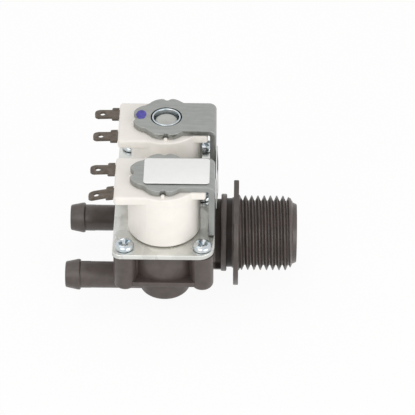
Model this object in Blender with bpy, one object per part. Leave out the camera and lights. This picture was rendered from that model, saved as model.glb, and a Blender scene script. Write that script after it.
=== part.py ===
"""Twin solenoid water inlet valve of a washing machine.

Frame: +Z up, the threaded inlet points along +X, the two hose barbs along -X.
The front valve stands at -Y and the rear valve at +Y. All named sizes are in millimetres.
X is first counted from the coils' axes and heights from the top face of the base plate.
The whole part is then moved by MIDDLE_X and raised by LIFT, so that the middle of its
length stands at X zero and its lowest point at Z zero.
"""

import math

import bmesh
import bpy
from mathutils import Matrix, Vector

MM = 0.001

# Clearances
GAP = 0.3
CUT_OVER = 1.0

# Layout
COIL_PITCH = 31.6
SCREW_X = 13.3
SCREW_Y = 28.0
INLET_Z = -16.0
OUTLET_Z = -22.8

# Base plate
PLATE_LEFT = 17.5
PLATE_RIGHT = 17.5
PLATE_MARGIN = 4.4
PLATE_T = 1.8
PLATE_ROUND_LEFT = 3.0
PLATE_ROUND_RIGHT = 5.5

# Guide tube, plunger and spring
GUIDE_R = 4.1
GUIDE_BORE = 3.4
GUIDE_TOP = 21.8
GUIDE_DISH = 0.7
GUIDE_ROUND = 1.0
GUIDE_ROOF = 1.5
GUIDE_FLANGE_R = 13.4
GUIDE_FLANGE_H = 3.3
PILOT_ROOM_R = 11.2
PLUNGER_POCKET_R = 2.2
PLUNGER_POCKET_H = 8.0
PLUNGER_TRAVEL = 2.2
SEAL_R = 1.5
SEAL_L = 1.5
SPRING_R = 1.6
SPRING_WIRE = 0.45
SPRING_TURNS = 5

# Diaphragm and its insert
BEAD_H = 2.2
BEAD_W = 1.1
DIAPHRAGM_T = 0.8
DIAPHRAGM_PAD_T = 1.2
DIAPHRAGM_PAD_R = 5.2
WEB_DROP = 0.3
WEB_KNEE = 1.2
WEB_FOLD = 3.0
WEB_FOLD_DROP = 0.9
INSERT_FLANGE_R = 4.6
INSERT_FLANGE_T = 0.8
INSERT_HUB_R = 1.6
INSERT_STEM_L = 3.2
INSERT_TRAVEL = 1.2
NOZZLE_R = 1.2
NOZZLE_H = 0.6
PILOT_HOLE_R = 0.45

# Coil
COIL_R = 12.5
COIL_FOOT = 0.4
COIL_WALL = 0.8
COIL_TOP = 20.8
COIL_FLANGE_T = 3.4
COIL_ROOF_T = 3.6
COIL_EDGE = 0.5
COIL_FLOOR_T = 0.7
FLANGE_LEFT = 16.7
FLANGE_HALF_Y = 11.3
FLANGE_ROUND = 1.2
TONGUE_HALF_Y = 8.0
TONGUE_RIGHT = 14.6
TONGUE_ROUND = 1.0
TONGUE_START = 4.0
BOBBIN_FLANGE_T = 1.0
BOBBIN_TUBE_T = 0.8
WINDING_SINK = 0.4
LUG_R = 0.75
LUG_H = 1.3
LUG_LEFT = 11.2
LUG_SINK = 0.5
LUG_HALF_Y = 10.7

# Pole sleeves
SLEEVE_R = 5.1
SLEEVE_BORE = 4.4
LOWER_SLEEVE_L = 6.7
UPPER_SLEEVE_L = 10.2

# Yoke
YOKE_T = 2.1
YOKE_HALF_Y = 8.2
YOKE_BEND_R = 2.6
YOKE_HOLE_R = 5.5
YOKE_TAB_HALF_Y = 3.0
YOKE_ARM_START = 4.0
YOKE_LEG_CHAMFER = 2.2

# Terminals
TERMINAL_Y = 6.4
TERMINAL_DROP = 1.65
TERMINAL_T = 0.8
SHOULDER_W = 6.3
SHOULDER_L = 2.3
BLADE_W = 4.0
BLADE_L = 6.0
BLADE_ROOT_L = 2.0
BLADE_HOLE_R = 1.0
BLADE_HOLE_FROM_TIP = 2.6

# Screws
HEAD_R = 3.3
HEAD_H = 2.2
SHANK_R = 1.5
SHANK_L = 13.0
RECESS_L = 3.6
RECESS_W = 0.9
RECESS_H = 1.1
RECESS_TURN = 25
HEAD_CROWN = 0.95

# Labels
LABEL_T = 0.2
LABEL_L = 22.4
LABEL_W = 13.8
LABEL_ROUND = 1.2
LABEL_FROM_EDGE = 1.8
EDGE_LABEL_HALF_Y = 11.0
EDGE_LABEL_TOP = 14.2
EDGE_LABEL_H = 10.5
EDGE_LABEL_BULGE = 0.5

# Valve body
CHAMBER_R = 14.2
CHAMBER_FLOOR = -15.0
RING_ROOM_R = 11.6
RING_ROOM_FLOOR = -12.6
SEAT_R = 4.7
SEAT_BORE = 3.5
SHELF_W = 0.5
BOSS_R = 3.9
BOSS_BOTTOM = -16.5
BOSS_ROUND = 1.6
WEB_T = 4.4
WEB_ABOVE_BOSS = 2.2
WEB_BELOW_TOP = 0.6
WEB_REACH = 1.8
RIB_TOP = -13.1
RIB_HALF_X = 11.5
RIB_HALF_Y = 31.3
RIB_ROUND = 1.5
OVERLAP = 0.02
CUP_R = 9.0
CUP_FLOOR_T = 1.0
CUP_ROUND = 1.6
MANIFOLD_R = 11.9
MANIFOLD_LEFT = -9.0
MANIFOLD_BORE = 7.5
MANIFOLD_BORE_LEFT = -3.0
MANIFOLD_ROUND = 2.5

# Inlet
NECK_X = 17.7
COLLAR_X = 19.5
COLLAR_T = 2.0
COLLAR_R = 13.7
GROOVE_R = 12.2
SHOULDER_X = 23.4
SHOULDER_R = 12.5
FLANGE_X = 23.9
FLANGE_T = 1.8
FLANGE_R = 18.6
BACK_COLLAR_R = 13.4
BACK_COLLAR_T = 0.3
NECK_END = 1.4
GUSSET_T = 1.8
GUSSET_L = 3.0
THREAD_R = 13.15
THREAD_ROOT_R = 11.7
THREAD_PITCH = 2.209
THREAD_TURNS = 8
THREAD_FIRST_X = 24.39
THREAD_RAMP = 0.4
LEAD_IN_X = 44.8
LEAD_IN_R = 10.8
TIP_R = 10.3
INLET_END = 46.2
INLET_BORE = 8.8
INLET_STEP_X = 27.0

# Strainer and flow regulator in the inlet
SCREEN_FLANGE_T = 1.2
SCREEN_R = 6.2
SCREEN_WALL = 0.9
SCREEN_L = 13.0
SCREEN_SLOTS = 10
SCREEN_SLOT_W = 1.6
REGULATOR_T = 3.0
REGULATOR_HOLE_R = 2.4

# Hose barbs
BARB_TIP_X = -34.9
BARB_TIP_R = 4.35
BARB_R = 5.4
BARB_L = 5.1
TUBE_R = 4.75
TUBE_BORE = 3.2
TUBE_SINK = 4.0
TUBE_SLOPE_L = 1.6
TUBE_SLOPE_H = 0.8

# Facets
FINE = 24
MEDIUM = 16
SMALL = 12

# Values that follow from the sizes above
PLATE_HALF_Y = SCREW_Y + PLATE_MARGIN
BODY_TOP = -PLATE_T - GAP
FLANGE_BOTTOM = BODY_TOP - GUIDE_FLANGE_H
SHELF_Z = FLANGE_BOTTOM - GAP
BEAD_TOP = FLANGE_BOTTOM - GAP
LEDGE_Z = BEAD_TOP - BEAD_H - GAP
RECESS_R = GUIDE_FLANGE_R + GAP
LEDGE_R = RECESS_R - SHELF_W
BEAD_R = LEDGE_R - GAP
PAD_TOP = BEAD_TOP
PAD_BOTTOM = PAD_TOP - DIAPHRAGM_PAD_T
SEAT_TOP = PAD_BOTTOM - GAP
INSERT_BOTTOM = PAD_TOP + GAP
INSERT_TOP = INSERT_BOTTOM + INSERT_FLANGE_T
PILOT_ROOF = INSERT_TOP + INSERT_TRAVEL + GAP
NOZZLE_TOP = INSERT_TOP + NOZZLE_H
SEAL_BOTTOM = NOZZLE_TOP + GAP
PLUNGER_BOTTOM = SEAL_BOTTOM + 0.5
PLUNGER_R = GUIDE_BORE - GAP
GUIDE_INNER_TOP = GUIDE_TOP - GUIDE_ROOF
PLUNGER_TOP = GUIDE_INNER_TOP - GAP - PLUNGER_TRAVEL
SLEEVE_ROOM_R = SLEEVE_R + GAP
BOBBIN_BOTTOM = COIL_FOOT + COIL_FLOOR_T + GAP
COIL_FLANGE_BOTTOM = COIL_TOP - COIL_FLANGE_T
CAVITY_TOP = COIL_TOP - COIL_ROOF_T
CAVITY_R = COIL_R - COIL_WALL
BOBBIN_TOP = CAVITY_TOP - GAP
BOBBIN_R = CAVITY_R - GAP
WINDING_R = BOBBIN_R - WINDING_SINK
BOBBIN_TUBE_R = SLEEVE_ROOM_R + BOBBIN_TUBE_T
YOKE_BOTTOM = COIL_TOP + GAP
YOKE_TOP = YOKE_BOTTOM + YOKE_T
LEG_INNER = PLATE_RIGHT - YOKE_T
TERMINAL_Z = COIL_TOP - TERMINAL_DROP
LABEL_BOTTOM = YOKE_TOP + GAP
LABEL_RIGHT = PLATE_RIGHT - LABEL_FROM_EDGE
CUP_BOTTOM = OUTLET_Z - TUBE_BORE - CUP_FLOOR_T
SCREEN_FLANGE_R = INLET_BORE - GAP
SCREEN_FLANGE_X = INLET_STEP_X + REGULATOR_T + 2 * GAP
LIFT = FLANGE_R - INLET_Z
MIDDLE_X = (INLET_END + BARB_TIP_X) / 2

VALVES = (("front", -COIL_PITCH / 2), ("rear", COIL_PITCH / 2))


def clear_scene():
    """Removes every object that the file opened with."""
    for obj in list(bpy.data.objects):
        bpy.data.objects.remove(obj, do_unlink=True)


def linear(value):
    """Turns one sRGB channel, 0 to 255, into a linear one."""
    value = value / 255
    if value <= 0.04045:
        return value / 12.92
    return ((value + 0.055) / 1.055) ** 2.4


def material(name, rgb, roughness, metallic=0.0):
    """A Principled material of one colour."""
    mat = bpy.data.materials.new(name)
    mat.use_nodes = True
    shader = mat.node_tree.nodes["Principled BSDF"]
    shader.inputs["Base Color"].default_value = (*[linear(c) for c in rgb], 1.0)
    shader.inputs["Roughness"].default_value = roughness
    shader.inputs["Metallic"].default_value = metallic
    return mat


def new_object(name, bm, mat=None, smooth=True):
    """Turns a bmesh in millimetres into an object in metres."""
    bmesh.ops.recalc_face_normals(bm, faces=bm.faces)
    bmesh.ops.scale(bm, vec=(MM, MM, MM), verts=bm.verts)
    mesh = bpy.data.meshes.new(name)
    bm.to_mesh(mesh)
    bm.free()
    if smooth:
        mesh.shade_smooth()
        mesh.set_sharp_from_angle(angle=math.radians(35))
    obj = bpy.data.objects.new(name, mesh)
    bpy.context.scene.collection.objects.link(obj)
    if mat:
        mesh.materials.append(mat)
    return obj


def turned(name, profile, mat=None, steps=FINE, along="Z", phase=0.0):
    """Revolves a closed (radius, height) outline about Z, or lays it along X."""
    bm = bmesh.new()
    rings = []
    for radius, height in profile:
        if radius < 1e-6:
            rings.append([bm.verts.new((0, 0, height))])
            continue
        ring = []
        for i in range(steps):
            a = 2 * math.pi * i / steps + phase
            ring.append(bm.verts.new((radius * math.cos(a), radius * math.sin(a), height)))
        rings.append(ring)
    for first, second in zip(rings, rings[1:] + rings[:1]):
        if len(first) == 1 and len(second) == 1:
            continue
        for i in range(steps):
            k = (i + 1) % steps
            if len(first) == 1:
                bm.faces.new((first[0], second[i], second[k]))
            elif len(second) == 1:
                bm.faces.new((first[i], second[0], first[k]))
            else:
                bm.faces.new((first[i], second[i], second[k], first[k]))
    if along == "X":
        bmesh.ops.rotate(bm, cent=(0, 0, 0), matrix=Matrix.Rotation(math.pi / 2, 3, "Y"), verts=bm.verts)
    return new_object(name, bm, mat)


def prism(name, outline, low, high, mat=None, smooth=True):
    """Extrudes a closed (x, y) outline from one height to another."""
    bm = bmesh.new()
    base = bm.faces.new([bm.verts.new((x, y, low)) for x, y in outline])
    top = bmesh.ops.extrude_face_region(bm, geom=[base])["geom"]
    moved = [v for v in top if isinstance(v, bmesh.types.BMVert)]
    bmesh.ops.translate(bm, vec=(0, 0, high - low), verts=moved)
    return new_object(name, bm, mat, smooth)


def block(name, low, high, turn=0.0, at=(0, 0, 0)):
    """A box between two corners, turned about Z and then moved."""
    bm = bmesh.new()
    bmesh.ops.create_cube(bm, size=1.0)
    size = Vector(high) - Vector(low)
    middle = (Vector(high) + Vector(low)) / 2
    bmesh.ops.scale(bm, vec=size, verts=bm.verts)
    bmesh.ops.translate(bm, vec=middle, verts=bm.verts)
    bmesh.ops.rotate(bm, cent=(0, 0, 0), matrix=Matrix.Rotation(turn, 3, "Z"), verts=bm.verts)
    bmesh.ops.translate(bm, vec=at, verts=bm.verts)
    return new_object(name, bm, None, False)


def place(obj, x=0.0, y=0.0, z=0.0):
    """Moves an object's mesh by millimetres."""
    obj.data.transform(Matrix.Translation((x * MM, y * MM, z * MM)))
    return obj


def combine(obj, tools, operation):
    """Unites the object with the tools, or cuts them from it, in one step, and removes the tools."""
    group = bpy.data.collections.new("tools")
    for tool in tools:
        group.objects.link(tool)
    mod = obj.modifiers.new(operation.lower(), "BOOLEAN")
    mod.operation = operation
    mod.solver = "EXACT"
    mod.operand_type = "COLLECTION"
    mod.collection = group
    graph = bpy.context.evaluated_depsgraph_get()
    mesh = bpy.data.meshes.new_from_object(obj.evaluated_get(graph))
    obj.modifiers.clear()
    bm = bmesh.new()
    bm.from_mesh(mesh)
    bmesh.ops.triangulate(bm, faces=bm.faces)
    bm.to_mesh(mesh)
    bm.free()
    mesh.shade_smooth()
    mesh.set_sharp_from_angle(angle=math.radians(35))
    obj.data = mesh
    for tool in tools:
        bpy.data.objects.remove(tool, do_unlink=True)
    bpy.data.collections.remove(group)
    return obj


def arc(cx, cy, radius, start, end, steps):
    """Points along an arc, angles in degrees."""
    points = []
    for i in range(steps + 1):
        a = math.radians(start + (end - start) * i / steps)
        points.append((cx + radius * math.cos(a), cy + radius * math.sin(a)))
    return points


def rounded_rectangle(x0, y0, x1, y1, left, right, steps=6):
    """A rectangle with one radius at its left corners and another at its right corners."""
    points = arc(x1 - right, y1 - right, right, 0, 90, steps)
    points += arc(x0 + left, y1 - left, left, 90, 180, steps)
    points += arc(x0 + left, y0 + left, left, 180, 270, steps)
    points += arc(x1 - right, y0 + right, right, 270, 360, steps)
    return points


def disc_profile(radius, low, high, rounding=0.0, steps=4):
    """A solid cylinder's outline with a rounded lower edge."""
    points = [(0, high), (radius, high)]
    if rounding > 0:
        for x, z in arc(radius - rounding, low + rounding, rounding, 0, -90, steps):
            points.append((x, z))
    else:
        points.append((radius, low))
    points.append((0, low))
    return points


def tube_profile(bore, radius, low, high):
    """A plain tube's outline."""
    return [(bore, high), (radius, high), (radius, low), (bore, low)]


def threaded_rod(name, steps=FINE):
    """The inlet's outer thread: a solid rod along X with one right-hand helical ridge.

    Each turn has three lines: the root, the crest's start and the crest's end. The ridge
    rises from the root over the first part of a turn and sinks back over the last.
    """
    bm = bmesh.new()
    shares = (0.0, 0.38, 0.62)
    crest = (False, True, True)
    depth = THREAD_R - THREAD_ROOT_R
    per_turn = len(shares)
    last = steps - 1

    def point(x, radius, i):
        a = 2 * math.pi * i / steps
        return bm.verts.new((x, radius * math.cos(a), radius * math.sin(a)))

    lines = []
    for turn in range(THREAD_TURNS + 1):
        for share, top in zip(shares, crest):
            line = []
            for i in range(steps if turn < THREAD_TURNS else 1):
                along = turn + i / steps
                rise = min(1.0, along / THREAD_RAMP, (THREAD_TURNS - along) / THREAD_RAMP)
                radius = THREAD_ROOT_R + (depth * rise if top else 0.0)
                line.append(point(THREAD_FIRST_X + THREAD_PITCH * (along + share), radius, i))
            lines.append(line)
    tail = THREAD_TURNS * per_turn - 1
    for row in range(tail):
        for i in range(last):
            bm.faces.new((lines[row][i], lines[row + 1][i], lines[row + 1][i + 1], lines[row][i + 1]))
        after = row + per_turn
        bm.faces.new((lines[row][last], lines[row + 1][last], lines[after + 1][0], lines[after][0]))
    start = [point(THREAD_FIRST_X, THREAD_ROOT_R, i) for i in range(steps)]
    finish = THREAD_FIRST_X + THREAD_PITCH * (THREAD_TURNS + 1) + 0.1
    ends = []
    for x, radius in ((finish, THREAD_ROOT_R), (LEAD_IN_X, LEAD_IN_R), (INLET_END, TIP_R)):
        ends.append([point(x, radius, i) for i in range(steps)])
    for i in range(last):
        bm.faces.new((start[i], lines[0][i], lines[0][i + 1], start[i + 1]))
    seam = [lines[row][0] for row in range(per_turn, -1, -1)]
    bm.faces.new([start[last], lines[0][last]] + seam + [start[0]])
    for i in range(1, last):
        bm.faces.new((lines[tail][i], ends[0][i], ends[0][i + 1], lines[tail][i + 1]))
    bm.faces.new((lines[tail][last], ends[0][last], ends[0][0], lines[tail + per_turn][0]))
    seam = [lines[tail + k][0] for k in range(per_turn + 1)]
    bm.faces.new(seam + [ends[0][0], ends[0][1], lines[tail][1]])
    for first, second in zip(ends, ends[1:]):
        for i in range(steps):
            k = (i + 1) % steps
            bm.faces.new((first[i], second[i], second[k], first[k]))
    bm.faces.new(start)
    bm.faces.new(ends[-1])
    return new_object(name, bm)


def valve_body(mat):
    """The moulded body: chambers, outlet elbows, bosses, ribs, inlet and hose barbs."""
    inlet = [
        (0, MANIFOLD_LEFT), (MANIFOLD_R - MANIFOLD_ROUND, MANIFOLD_LEFT),
        (MANIFOLD_R - 0.8, MANIFOLD_LEFT + 0.8), (MANIFOLD_R, MANIFOLD_LEFT + MANIFOLD_ROUND),
        (MANIFOLD_R, COLLAR_X), (COLLAR_R - 0.4, COLLAR_X),
        (COLLAR_R, COLLAR_X + 0.4), (COLLAR_R, COLLAR_X + COLLAR_T), (GROOVE_R, COLLAR_X + COLLAR_T),
        (GROOVE_R, SHOULDER_X), (SHOULDER_R, SHOULDER_X), (SHOULDER_R, FLANGE_X),
        (FLANGE_R - 0.3, FLANGE_X), (FLANGE_R, FLANGE_X + 0.4), (FLANGE_R, FLANGE_X + FLANGE_T - 0.4),
        (FLANGE_R - 0.3, FLANGE_X + FLANGE_T), (BACK_COLLAR_R, FLANGE_X + FLANGE_T),
        (BACK_COLLAR_R, FLANGE_X + FLANGE_T + BACK_COLLAR_T),
        (THREAD_ROOT_R - 0.5, FLANGE_X + FLANGE_T + NECK_END), (0, FLANGE_X + FLANGE_T + NECK_END),
    ]
    body = place(turned("valve_body", inlet, mat, FINE, "X"), z=INLET_Z)
    joined = [place(threaded_rod("thread"), z=INLET_Z)]
    rib = rounded_rectangle(-RIB_HALF_X, -RIB_HALF_Y, RIB_HALF_X, RIB_HALF_Y, RIB_ROUND, RIB_ROUND, 3)
    joined.append(prism("rib", rib, CHAMBER_FLOOR + OVERLAP, RIB_TOP))
    tube_end = TUBE_SINK - CUP_R
    for _, y in VALVES:
        chamber = disc_profile(CHAMBER_R, CHAMBER_FLOOR - OVERLAP, BODY_TOP + 0.9)
        joined.append(place(turned("chamber", chamber), y=y))
        cup = disc_profile(CUP_R, CUP_BOTTOM, CHAMBER_FLOOR + CUT_OVER, CUP_ROUND)
        joined.append(place(turned("cup", cup, steps=MEDIUM), y=y))
        barb = [
            (0, tube_end), (TUBE_R - TUBE_SLOPE_H, tube_end), (TUBE_R, tube_end - TUBE_SLOPE_L),
            (TUBE_R, BARB_TIP_X + BARB_L), (BARB_R, BARB_TIP_X + BARB_L - 0.4),
            (BARB_TIP_R, BARB_TIP_X), (0, BARB_TIP_X),
        ]
        joined.append(place(turned("barb", barb, steps=MEDIUM, along="X"), y=y, z=OUTLET_Z))
    for sx in (-1, 1):
        for y in (-SCREW_Y, 0.0, SCREW_Y):
            boss = disc_profile(BOSS_R, BOSS_BOTTOM, BODY_TOP + 0.7, BOSS_ROUND, 2)
            joined.append(place(turned("boss", boss, steps=SMALL, phase=0.12), x=sx * SCREW_X, y=y))
            for _, cy in VALVES:
                reach = Vector((sx * SCREW_X, y - cy))
                if reach.length > SCREW_X * WEB_REACH:
                    continue
                turn = math.atan2(reach.y, reach.x)
                low = (CHAMBER_R - 2 * CUT_OVER, -WEB_T / 2, BOSS_BOTTOM + WEB_ABOVE_BOSS)
                high = (reach.length, WEB_T / 2, BODY_TOP - WEB_BELOW_TOP)
                joined.append(block("web", low, high, turn, (0, cy, 0)))
    for angle in (-35, 215):
        a = math.radians(angle)
        low = (NECK_X - GUSSET_L, -GUSSET_T / 2, MANIFOLD_R - CUT_OVER)
        high = (COLLAR_X + GAP, GUSSET_T / 2, COLLAR_R - GAP)
        gusset = block("gusset", low, high)
        gusset.data.transform(Matrix.Rotation(math.pi / 2 - a, 4, "X"))
        joined.append(place(gusset, z=INLET_Z))
    combine(body, joined, "UNION")
    far = 2 * RIB_HALF_Y
    cutters = [block("top", (-far, -far, BODY_TOP), (far, far, BODY_TOP + 2 * BOSS_R))]
    bore = [
        (0, INLET_END + CUT_OVER), (INLET_BORE, INLET_END + CUT_OVER), (INLET_BORE, INLET_STEP_X),
        (MANIFOLD_BORE, INLET_STEP_X), (MANIFOLD_BORE, MANIFOLD_BORE_LEFT), (0, MANIFOLD_BORE_LEFT - 2.0),
    ]
    cutters.append(place(turned("bore", bore, steps=MEDIUM, along="X"), z=INLET_Z))
    for _, y in VALVES:
        room = [
            (0, BODY_TOP + CUT_OVER), (RECESS_R, BODY_TOP + CUT_OVER), (RECESS_R, SHELF_Z), (LEDGE_R, SHELF_Z),
            (LEDGE_R, LEDGE_Z), (RING_ROOM_R, LEDGE_Z), (RING_ROOM_R, RING_ROOM_FLOOR),
            (SEAT_R, RING_ROOM_FLOOR), (SEAT_R, SEAT_TOP), (SEAT_BORE, SEAT_TOP),
            (SEAT_BORE, OUTLET_Z - TUBE_BORE + 0.5), (0, OUTLET_Z - TUBE_BORE + 0.2),
        ]
        cutters.append(place(turned("room", room, steps=MEDIUM), y=y))
        outlet = [(0, 0.9), (TUBE_BORE, 0.9), (TUBE_BORE, BARB_TIP_X - CUT_OVER), (0, BARB_TIP_X - CUT_OVER)]
        cutters.append(place(turned("outlet", outlet, steps=SMALL, along="X"), y=y, z=OUTLET_Z))
    for sx in (-1, 1):
        for y in (-SCREW_Y, 0.0, SCREW_Y):
            hole = disc_profile(SHANK_R + GAP, -SHANK_L - 1.0, BODY_TOP + CUT_OVER)
            cutters.append(place(turned("hole", hole, steps=8, phase=0.2), x=sx * SCREW_X, y=y))
    combine(body, cutters, "DIFFERENCE")
    return body


def base_plate(mat):
    """The steel plate that clamps the diaphragms and closes the magnets' circuit."""
    outline = rounded_rectangle(-PLATE_LEFT, -PLATE_HALF_Y, PLATE_RIGHT, PLATE_HALF_Y,
                                PLATE_ROUND_LEFT, PLATE_ROUND_RIGHT, 4)
    plate = prism("base_plate", outline, -PLATE_T, 0, mat)
    cutters = []
    for _, y in VALVES:
        hole = disc_profile(GUIDE_R + GAP, -PLATE_T - CUT_OVER, CUT_OVER)
        cutters.append(place(turned("hole", hole, steps=MEDIUM), y=y))
        low = (LEG_INNER - GAP, -YOKE_TAB_HALF_Y - GAP, -PLATE_T - CUT_OVER)
        high = (PLATE_RIGHT + CUT_OVER, YOKE_TAB_HALF_Y + GAP, CUT_OVER)
        cutters.append(block("slot", low, high, at=(0, y, 0)))
    for sx in (-1, 1):
        for y in (-SCREW_Y, 0.0, SCREW_Y):
            hole = disc_profile(SHANK_R + GAP, -PLATE_T - CUT_OVER, CUT_OVER)
            cutters.append(place(turned("hole", hole, steps=12), x=sx * SCREW_X, y=y))
    return combine(plate, cutters, "DIFFERENCE")


def yoke_disc():
    """The scalloped end of the yoke's top: radii at angles from +X, the same on both sides."""
    stations = (
        (0, 9.0), (20, 9.0), (50, 10.0), (60, 10.2), (75, 10.7), (83, 10.4), (88, 9.6), (92, 9.6), (97, 10.4),
        (108, 10.6), (120, 10.3), (129, 9.9), (137, 9.9), (145, 10.7), (155, 11.4), (165, 11.8), (172, 11.6),
        (174, 10.3), (180, 10.1),
    )
    half = []
    for (a0, r0), (a1, r1) in zip(stations, stations[1:]):
        count = max(1, round((a1 - a0) / 8))
        for i in range(count):
            share = i / count
            half.append((a0 + (a1 - a0) * share, r0 + (r1 - r0) * share))
    half.append(stations[-1])
    polar = half + [(360 - a, r) for a, r in reversed(half[1:-1])]
    return [(r * math.cos(math.radians(a)), r * math.sin(math.radians(a))) for a, r in polar]


def yoke(name, y, mat):
    """One bent steel strip: scalloped top, bend, leg and a tab in the base plate's notch."""
    top = prism(name, yoke_disc(), YOKE_BOTTOM, YOKE_TOP, mat)
    inner = YOKE_BEND_R - YOKE_T
    cx = PLATE_RIGHT - YOKE_BEND_R
    cz = YOKE_TOP - YOKE_BEND_R
    strip = [(YOKE_ARM_START, YOKE_BOTTOM + 0.01), (YOKE_ARM_START, YOKE_TOP - 0.01)]
    strip += [(x, z - 0.01) for x, z in arc(cx, cz, YOKE_BEND_R, 90, 0, 6)]
    strip += [(PLATE_RIGHT, GAP), (LEG_INNER, GAP)]
    strip += [(x, z + 0.01) for x, z in arc(cx, cz, inner, 0, 90, 3)]
    leg = prism("leg", strip, -YOKE_HALF_Y, YOKE_HALF_Y)
    leg.data.transform(Matrix.Rotation(math.pi / 2, 4, "X"))
    tab = block("tab", (LEG_INNER, -YOKE_TAB_HALF_Y, -PLATE_T), (PLATE_RIGHT, YOKE_TAB_HALF_Y, GAP + 1.0))
    combine(top, [leg, tab], "UNION")
    hole = disc_profile(YOKE_HOLE_R, YOKE_BOTTOM - CUT_OVER, YOKE_TOP + CUT_OVER)
    cutters = [turned("hole", hole, steps=MEDIUM)]
    for side in (-1, 1):
        edge = side * (YOKE_HALF_Y - YOKE_LEG_CHAMFER)
        far = side * (YOKE_HALF_Y + CUT_OVER)
        corner = [(edge, GAP), (edge, -CUT_OVER), (far, -CUT_OVER), (far, GAP + YOKE_LEG_CHAMFER + CUT_OVER)]
        wedge = prism("corner", corner, LEG_INNER - CUT_OVER, PLATE_RIGHT + CUT_OVER)
        turn = Matrix(((0, 0, 1), (1, 0, 0), (0, 1, 0))).to_4x4()
        wedge.data.transform(turn)
        cutters.append(wedge)
    combine(top, cutters, "DIFFERENCE")
    return place(top, y=y)


def flange_outline():
    """What stands out from the coil's cylinder: a square flange for the terminals, and a tongue."""
    half = arc(TONGUE_RIGHT - TONGUE_ROUND, TONGUE_HALF_Y - TONGUE_ROUND, TONGUE_ROUND, 0, 90, 2)
    half += [(TONGUE_START, TONGUE_HALF_Y), (TONGUE_START, FLANGE_HALF_Y)]
    half += arc(-FLANGE_LEFT + FLANGE_ROUND, FLANGE_HALF_Y - FLANGE_ROUND, FLANGE_ROUND, 90, 180, 3)
    return half + [(x, -y) for x, y in reversed(half)]


def coil_casing(name, y, mat):
    """The moulded cover of one coil, with the flange that carries the terminals."""
    shell = [
        (0, COIL_TOP), (COIL_R - COIL_EDGE, COIL_TOP), (COIL_R, COIL_TOP - COIL_EDGE),
        (COIL_R, COIL_FOOT + COIL_EDGE), (COIL_R - COIL_EDGE, COIL_FOOT), (0, COIL_FOOT),
    ]
    casing = turned(name, shell, mat)
    joined = [prism("flange", flange_outline(), COIL_FLANGE_BOTTOM, COIL_TOP + OVERLAP / 2)]
    for lx, ly in ((-LUG_LEFT, 0), (0, -LUG_HALF_Y), (0, LUG_HALF_Y)):
        lug = disc_profile(LUG_R, COIL_TOP - LUG_SINK, COIL_TOP + LUG_H)
        joined.append(place(turned("lug", lug, steps=8), x=lx, y=ly))
    combine(casing, joined, "UNION")
    cavity = [
        (0, COIL_TOP + CUT_OVER), (SLEEVE_ROOM_R, COIL_TOP + CUT_OVER), (SLEEVE_ROOM_R, CAVITY_TOP),
        (CAVITY_R, CAVITY_TOP), (CAVITY_R, COIL_FOOT + COIL_FLOOR_T),
        (SLEEVE_ROOM_R, COIL_FOOT + COIL_FLOOR_T), (SLEEVE_ROOM_R, COIL_FOOT - CUT_OVER),
        (0, COIL_FOOT - CUT_OVER),
    ]
    cutters = [turned("cavity", cavity)]
    for side in (-1, 1):
        low = (-FLANGE_LEFT - CUT_OVER, side * TERMINAL_Y - BLADE_W / 2 - GAP, TERMINAL_Z - TERMINAL_T / 2 - GAP)
        high = (-FLANGE_LEFT + BLADE_ROOT_L + GAP, side * TERMINAL_Y + BLADE_W / 2 + GAP,
                TERMINAL_Z + TERMINAL_T / 2 + GAP)
        cutters.append(block("pocket", low, high))
    combine(casing, cutters, "DIFFERENCE")
    return place(casing, y=y)


def terminal(name, y, droop, mat):
    """One flat tab: root in the flange, wide shoulder, blade with a round tip and a hole."""
    root = -FLANGE_LEFT + BLADE_ROOT_L
    face = -FLANGE_LEFT - GAP
    neck = face - SHOULDER_L
    tip = neck - BLADE_L
    half = BLADE_W / 2
    wide = SHOULDER_W / 2
    outline = [
        (root, half), (face, half), (face, wide), (neck + 0.6, wide), (neck, wide - 0.7), (neck, half),
        (tip + 1.2, half), (tip + 0.4, half - 0.5), (tip, half - 1.1), (tip, -half + 1.1), (tip + 0.4, -half + 0.5),
        (tip + 1.2, -half), (neck, -half), (neck, -wide + 0.7), (neck + 0.6, -wide), (face, -wide),
        (face, -half), (root, -half),
    ]
    blade = prism(name, outline, -TERMINAL_T / 2, TERMINAL_T / 2, mat, False)
    hole = place(turned("hole", disc_profile(BLADE_HOLE_R, -1, 1), steps=12), x=tip + BLADE_HOLE_FROM_TIP)
    combine(blade, [hole], "DIFFERENCE")
    for vertex in blade.data.vertices:
        beyond = (face - 0.6) * MM - vertex.co.x
        if beyond > 0:
            vertex.co.z -= beyond * math.tan(math.radians(droop))
    return place(blade, y=y, z=TERMINAL_Z)


def screw_mesh(mat):
    """A pan-head screw with a cross recess, its head resting on the base plate."""
    profile = [(0, GAP + HEAD_H), (HEAD_R * 0.55, GAP + HEAD_H - 0.2), (HEAD_R * 0.9, GAP + HEAD_H - HEAD_CROWN),
               (HEAD_R, GAP), (SHANK_R, GAP),
               (SHANK_R, -SHANK_L + 1.2), (0, -SHANK_L)]
    screw = turned("screw", profile, mat, SMALL)
    arms = []
    for turn in (0.0, math.pi / 2):
        low = (-RECESS_L / 2, -RECESS_W / 2, GAP + HEAD_H - RECESS_H)
        high = (RECESS_L / 2, RECESS_W / 2, GAP + HEAD_H + CUT_OVER)
        arms.append(block("arm", low, high, turn + math.radians(RECESS_TURN)))
    return combine(screw, arms, "DIFFERENCE")


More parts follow.
